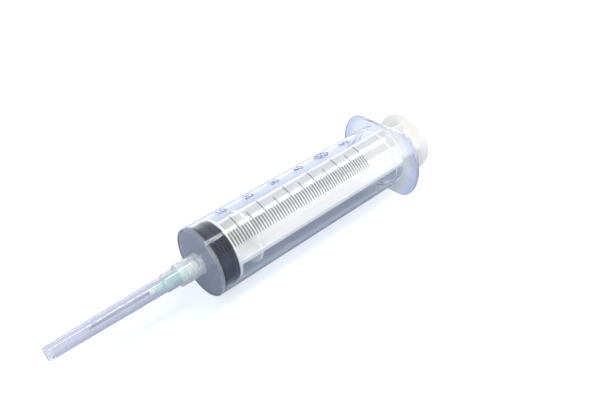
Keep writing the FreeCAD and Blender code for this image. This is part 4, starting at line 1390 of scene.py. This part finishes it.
def build_floor(stage):
    """One flat square under the syringe."""
    half = stage.floor_half
    corners = np.array([[-half, -half, 0.0], [half, -half, 0.0], [half, half, 0.0], [-half, half, 0.0]])
    mesh = bpy.data.meshes.new("studio_floor")
    mesh.from_pydata(corners.tolist(), [], [(0, 1, 2, 3)])
    floor = bpy.data.objects.new("studio_floor", mesh)
    mesh.materials.append(floor_material(stage))
    bpy.context.scene.collection.objects.link(floor)


def build_room(stage):
    """Dim, slightly blue light from all round, with a white backdrop wherever it is seen."""
    world = bpy.data.worlds.new("studio")
    world.use_nodes = True
    tree = world.node_tree
    background = tree.nodes["Background"]
    path = add(tree, "ShaderNodeLightPath")
    seen = math_node(tree, "MAXIMUM", path.outputs["Is Camera Ray"], seen_through(tree, path))
    tree.links.new(blended_tone(tree, seen, stage.sky_tone, (1.0, 1.0, 1.0)), background.inputs["Color"])
    tree.links.new(math_node(tree, "MULTIPLY_ADD", seen, stage.backdrop - stage.sky, stage.sky),
                   background.inputs["Strength"])
    bpy.context.scene.world = world


def build_lamps(stage):
    """The lamps, each with its power and the one behind the syringe with its own colour."""
    for name, direction, distance, width, height in LAMPS:
        lamp = soft_light(name + "_light", direction, distance, width, height, getattr(stage, name))
        if name == "back":
            lamp.color = stage.back_tone


def soft_light(name, direction, distance, width, height, watts):
    """An oblong light whose long side lies along X as seen from the syringe, facing the syringe."""
    lamp = bpy.data.lights.new(name, "AREA")
    lamp.shape = "RECTANGLE"
    lamp.size, lamp.size_y = width, height
    lamp.energy = watts
    light = bpy.data.objects.new(name, lamp)
    away = np.array(direction) / np.linalg.norm(direction)
    along = np.array([1.0, 0.0, 0.0]) - away * away[0]
    along /= np.linalg.norm(along)
    set_turn(light, along, np.cross(away, along), away, away * distance)
    return lamp


def set_turn(item, right, up, back, place):
    """Links an object and gives it its three directions and its place."""
    rows = [[right[i], up[i], back[i], place[i]] for i in range(3)]
    item.matrix_world = Matrix(rows + [[0.0, 0.0, 0.0, 1.0]])
    bpy.context.scene.collection.objects.link(item)


def build_camera(stage):
    """The camera, where its fitted place and turn show the syringe as it lies."""
    data = bpy.data.cameras.new("camera")
    data.lens = stage.focal
    data.sensor_width = SENSOR
    data.clip_start, data.clip_end = CLIP
    camera = bpy.data.objects.new("camera", data)
    set_turn(camera, CAMERA_RIGHT, CAMERA_UP, CAMERA_BACK, CAMERA_PLACE)
    bpy.context.scene.camera = camera


class SYRINGE_OT_stage(Operator):
    """Sets up the floor, the lights, the camera and the view settings"""

    bl_idname = "syringe.stage"
    bl_label = "Set stage"

    def execute(self, context):
        stage = context.scene.syringe_stage
        build_floor(stage)
        build_room(stage)
        build_lamps(stage)
        build_camera(stage)
        context.scene.view_settings.view_transform = "Standard"
        return {"FINISHED"}


class SYRINGE_PT_panel(Panel):
    """The syringe's building steps and its main settings"""

    bl_idname = "SYRINGE_PT_panel"
    bl_label = "Syringe"
    bl_space_type = "VIEW_3D"
    bl_region_type = "UI"
    bl_category = "Syringe"

    def draw(self, context):
        column = self.layout.column()
        for step in STEPS:
            column.operator(step.bl_idname)
        for name, group in SETTINGS:
            settings = getattr(context.scene, name)
            box = column.box()
            for prop in group.__annotations__:
                box.prop(settings, prop)


STEPS = (SYRINGE_OT_barrel, SYRINGE_OT_scale, SYRINGE_OT_plunger, SYRINGE_OT_needle, SYRINGE_OT_sheath,
         SYRINGE_OT_stage)


def register():
    """Registers the settings, the steps and the panel."""
    for name, group in SETTINGS:
        bpy.utils.register_class(group)
        setattr(bpy.types.Scene, name, PointerProperty(type=group))
    for step in STEPS:
        bpy.utils.register_class(step)
    bpy.utils.register_class(SYRINGE_PT_panel)


def unregister():
    """Takes them all out again, last first."""
    bpy.utils.unregister_class(SYRINGE_PT_panel)
    for step in reversed(STEPS):
        bpy.utils.unregister_class(step)
    for name, group in reversed(SETTINGS):
        delattr(bpy.types.Scene, name)
        bpy.utils.unregister_class(group)


def main():
    """Builds everything in order."""
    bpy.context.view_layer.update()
    register()
    bpy.ops.syringe.barrel()
    bpy.ops.syringe.scale()
    bpy.ops.syringe.plunger()
    bpy.ops.syringe.needle()
    bpy.ops.syringe.sheath()
    bpy.ops.syringe.stage()


if __name__ == "__main__":
    main()
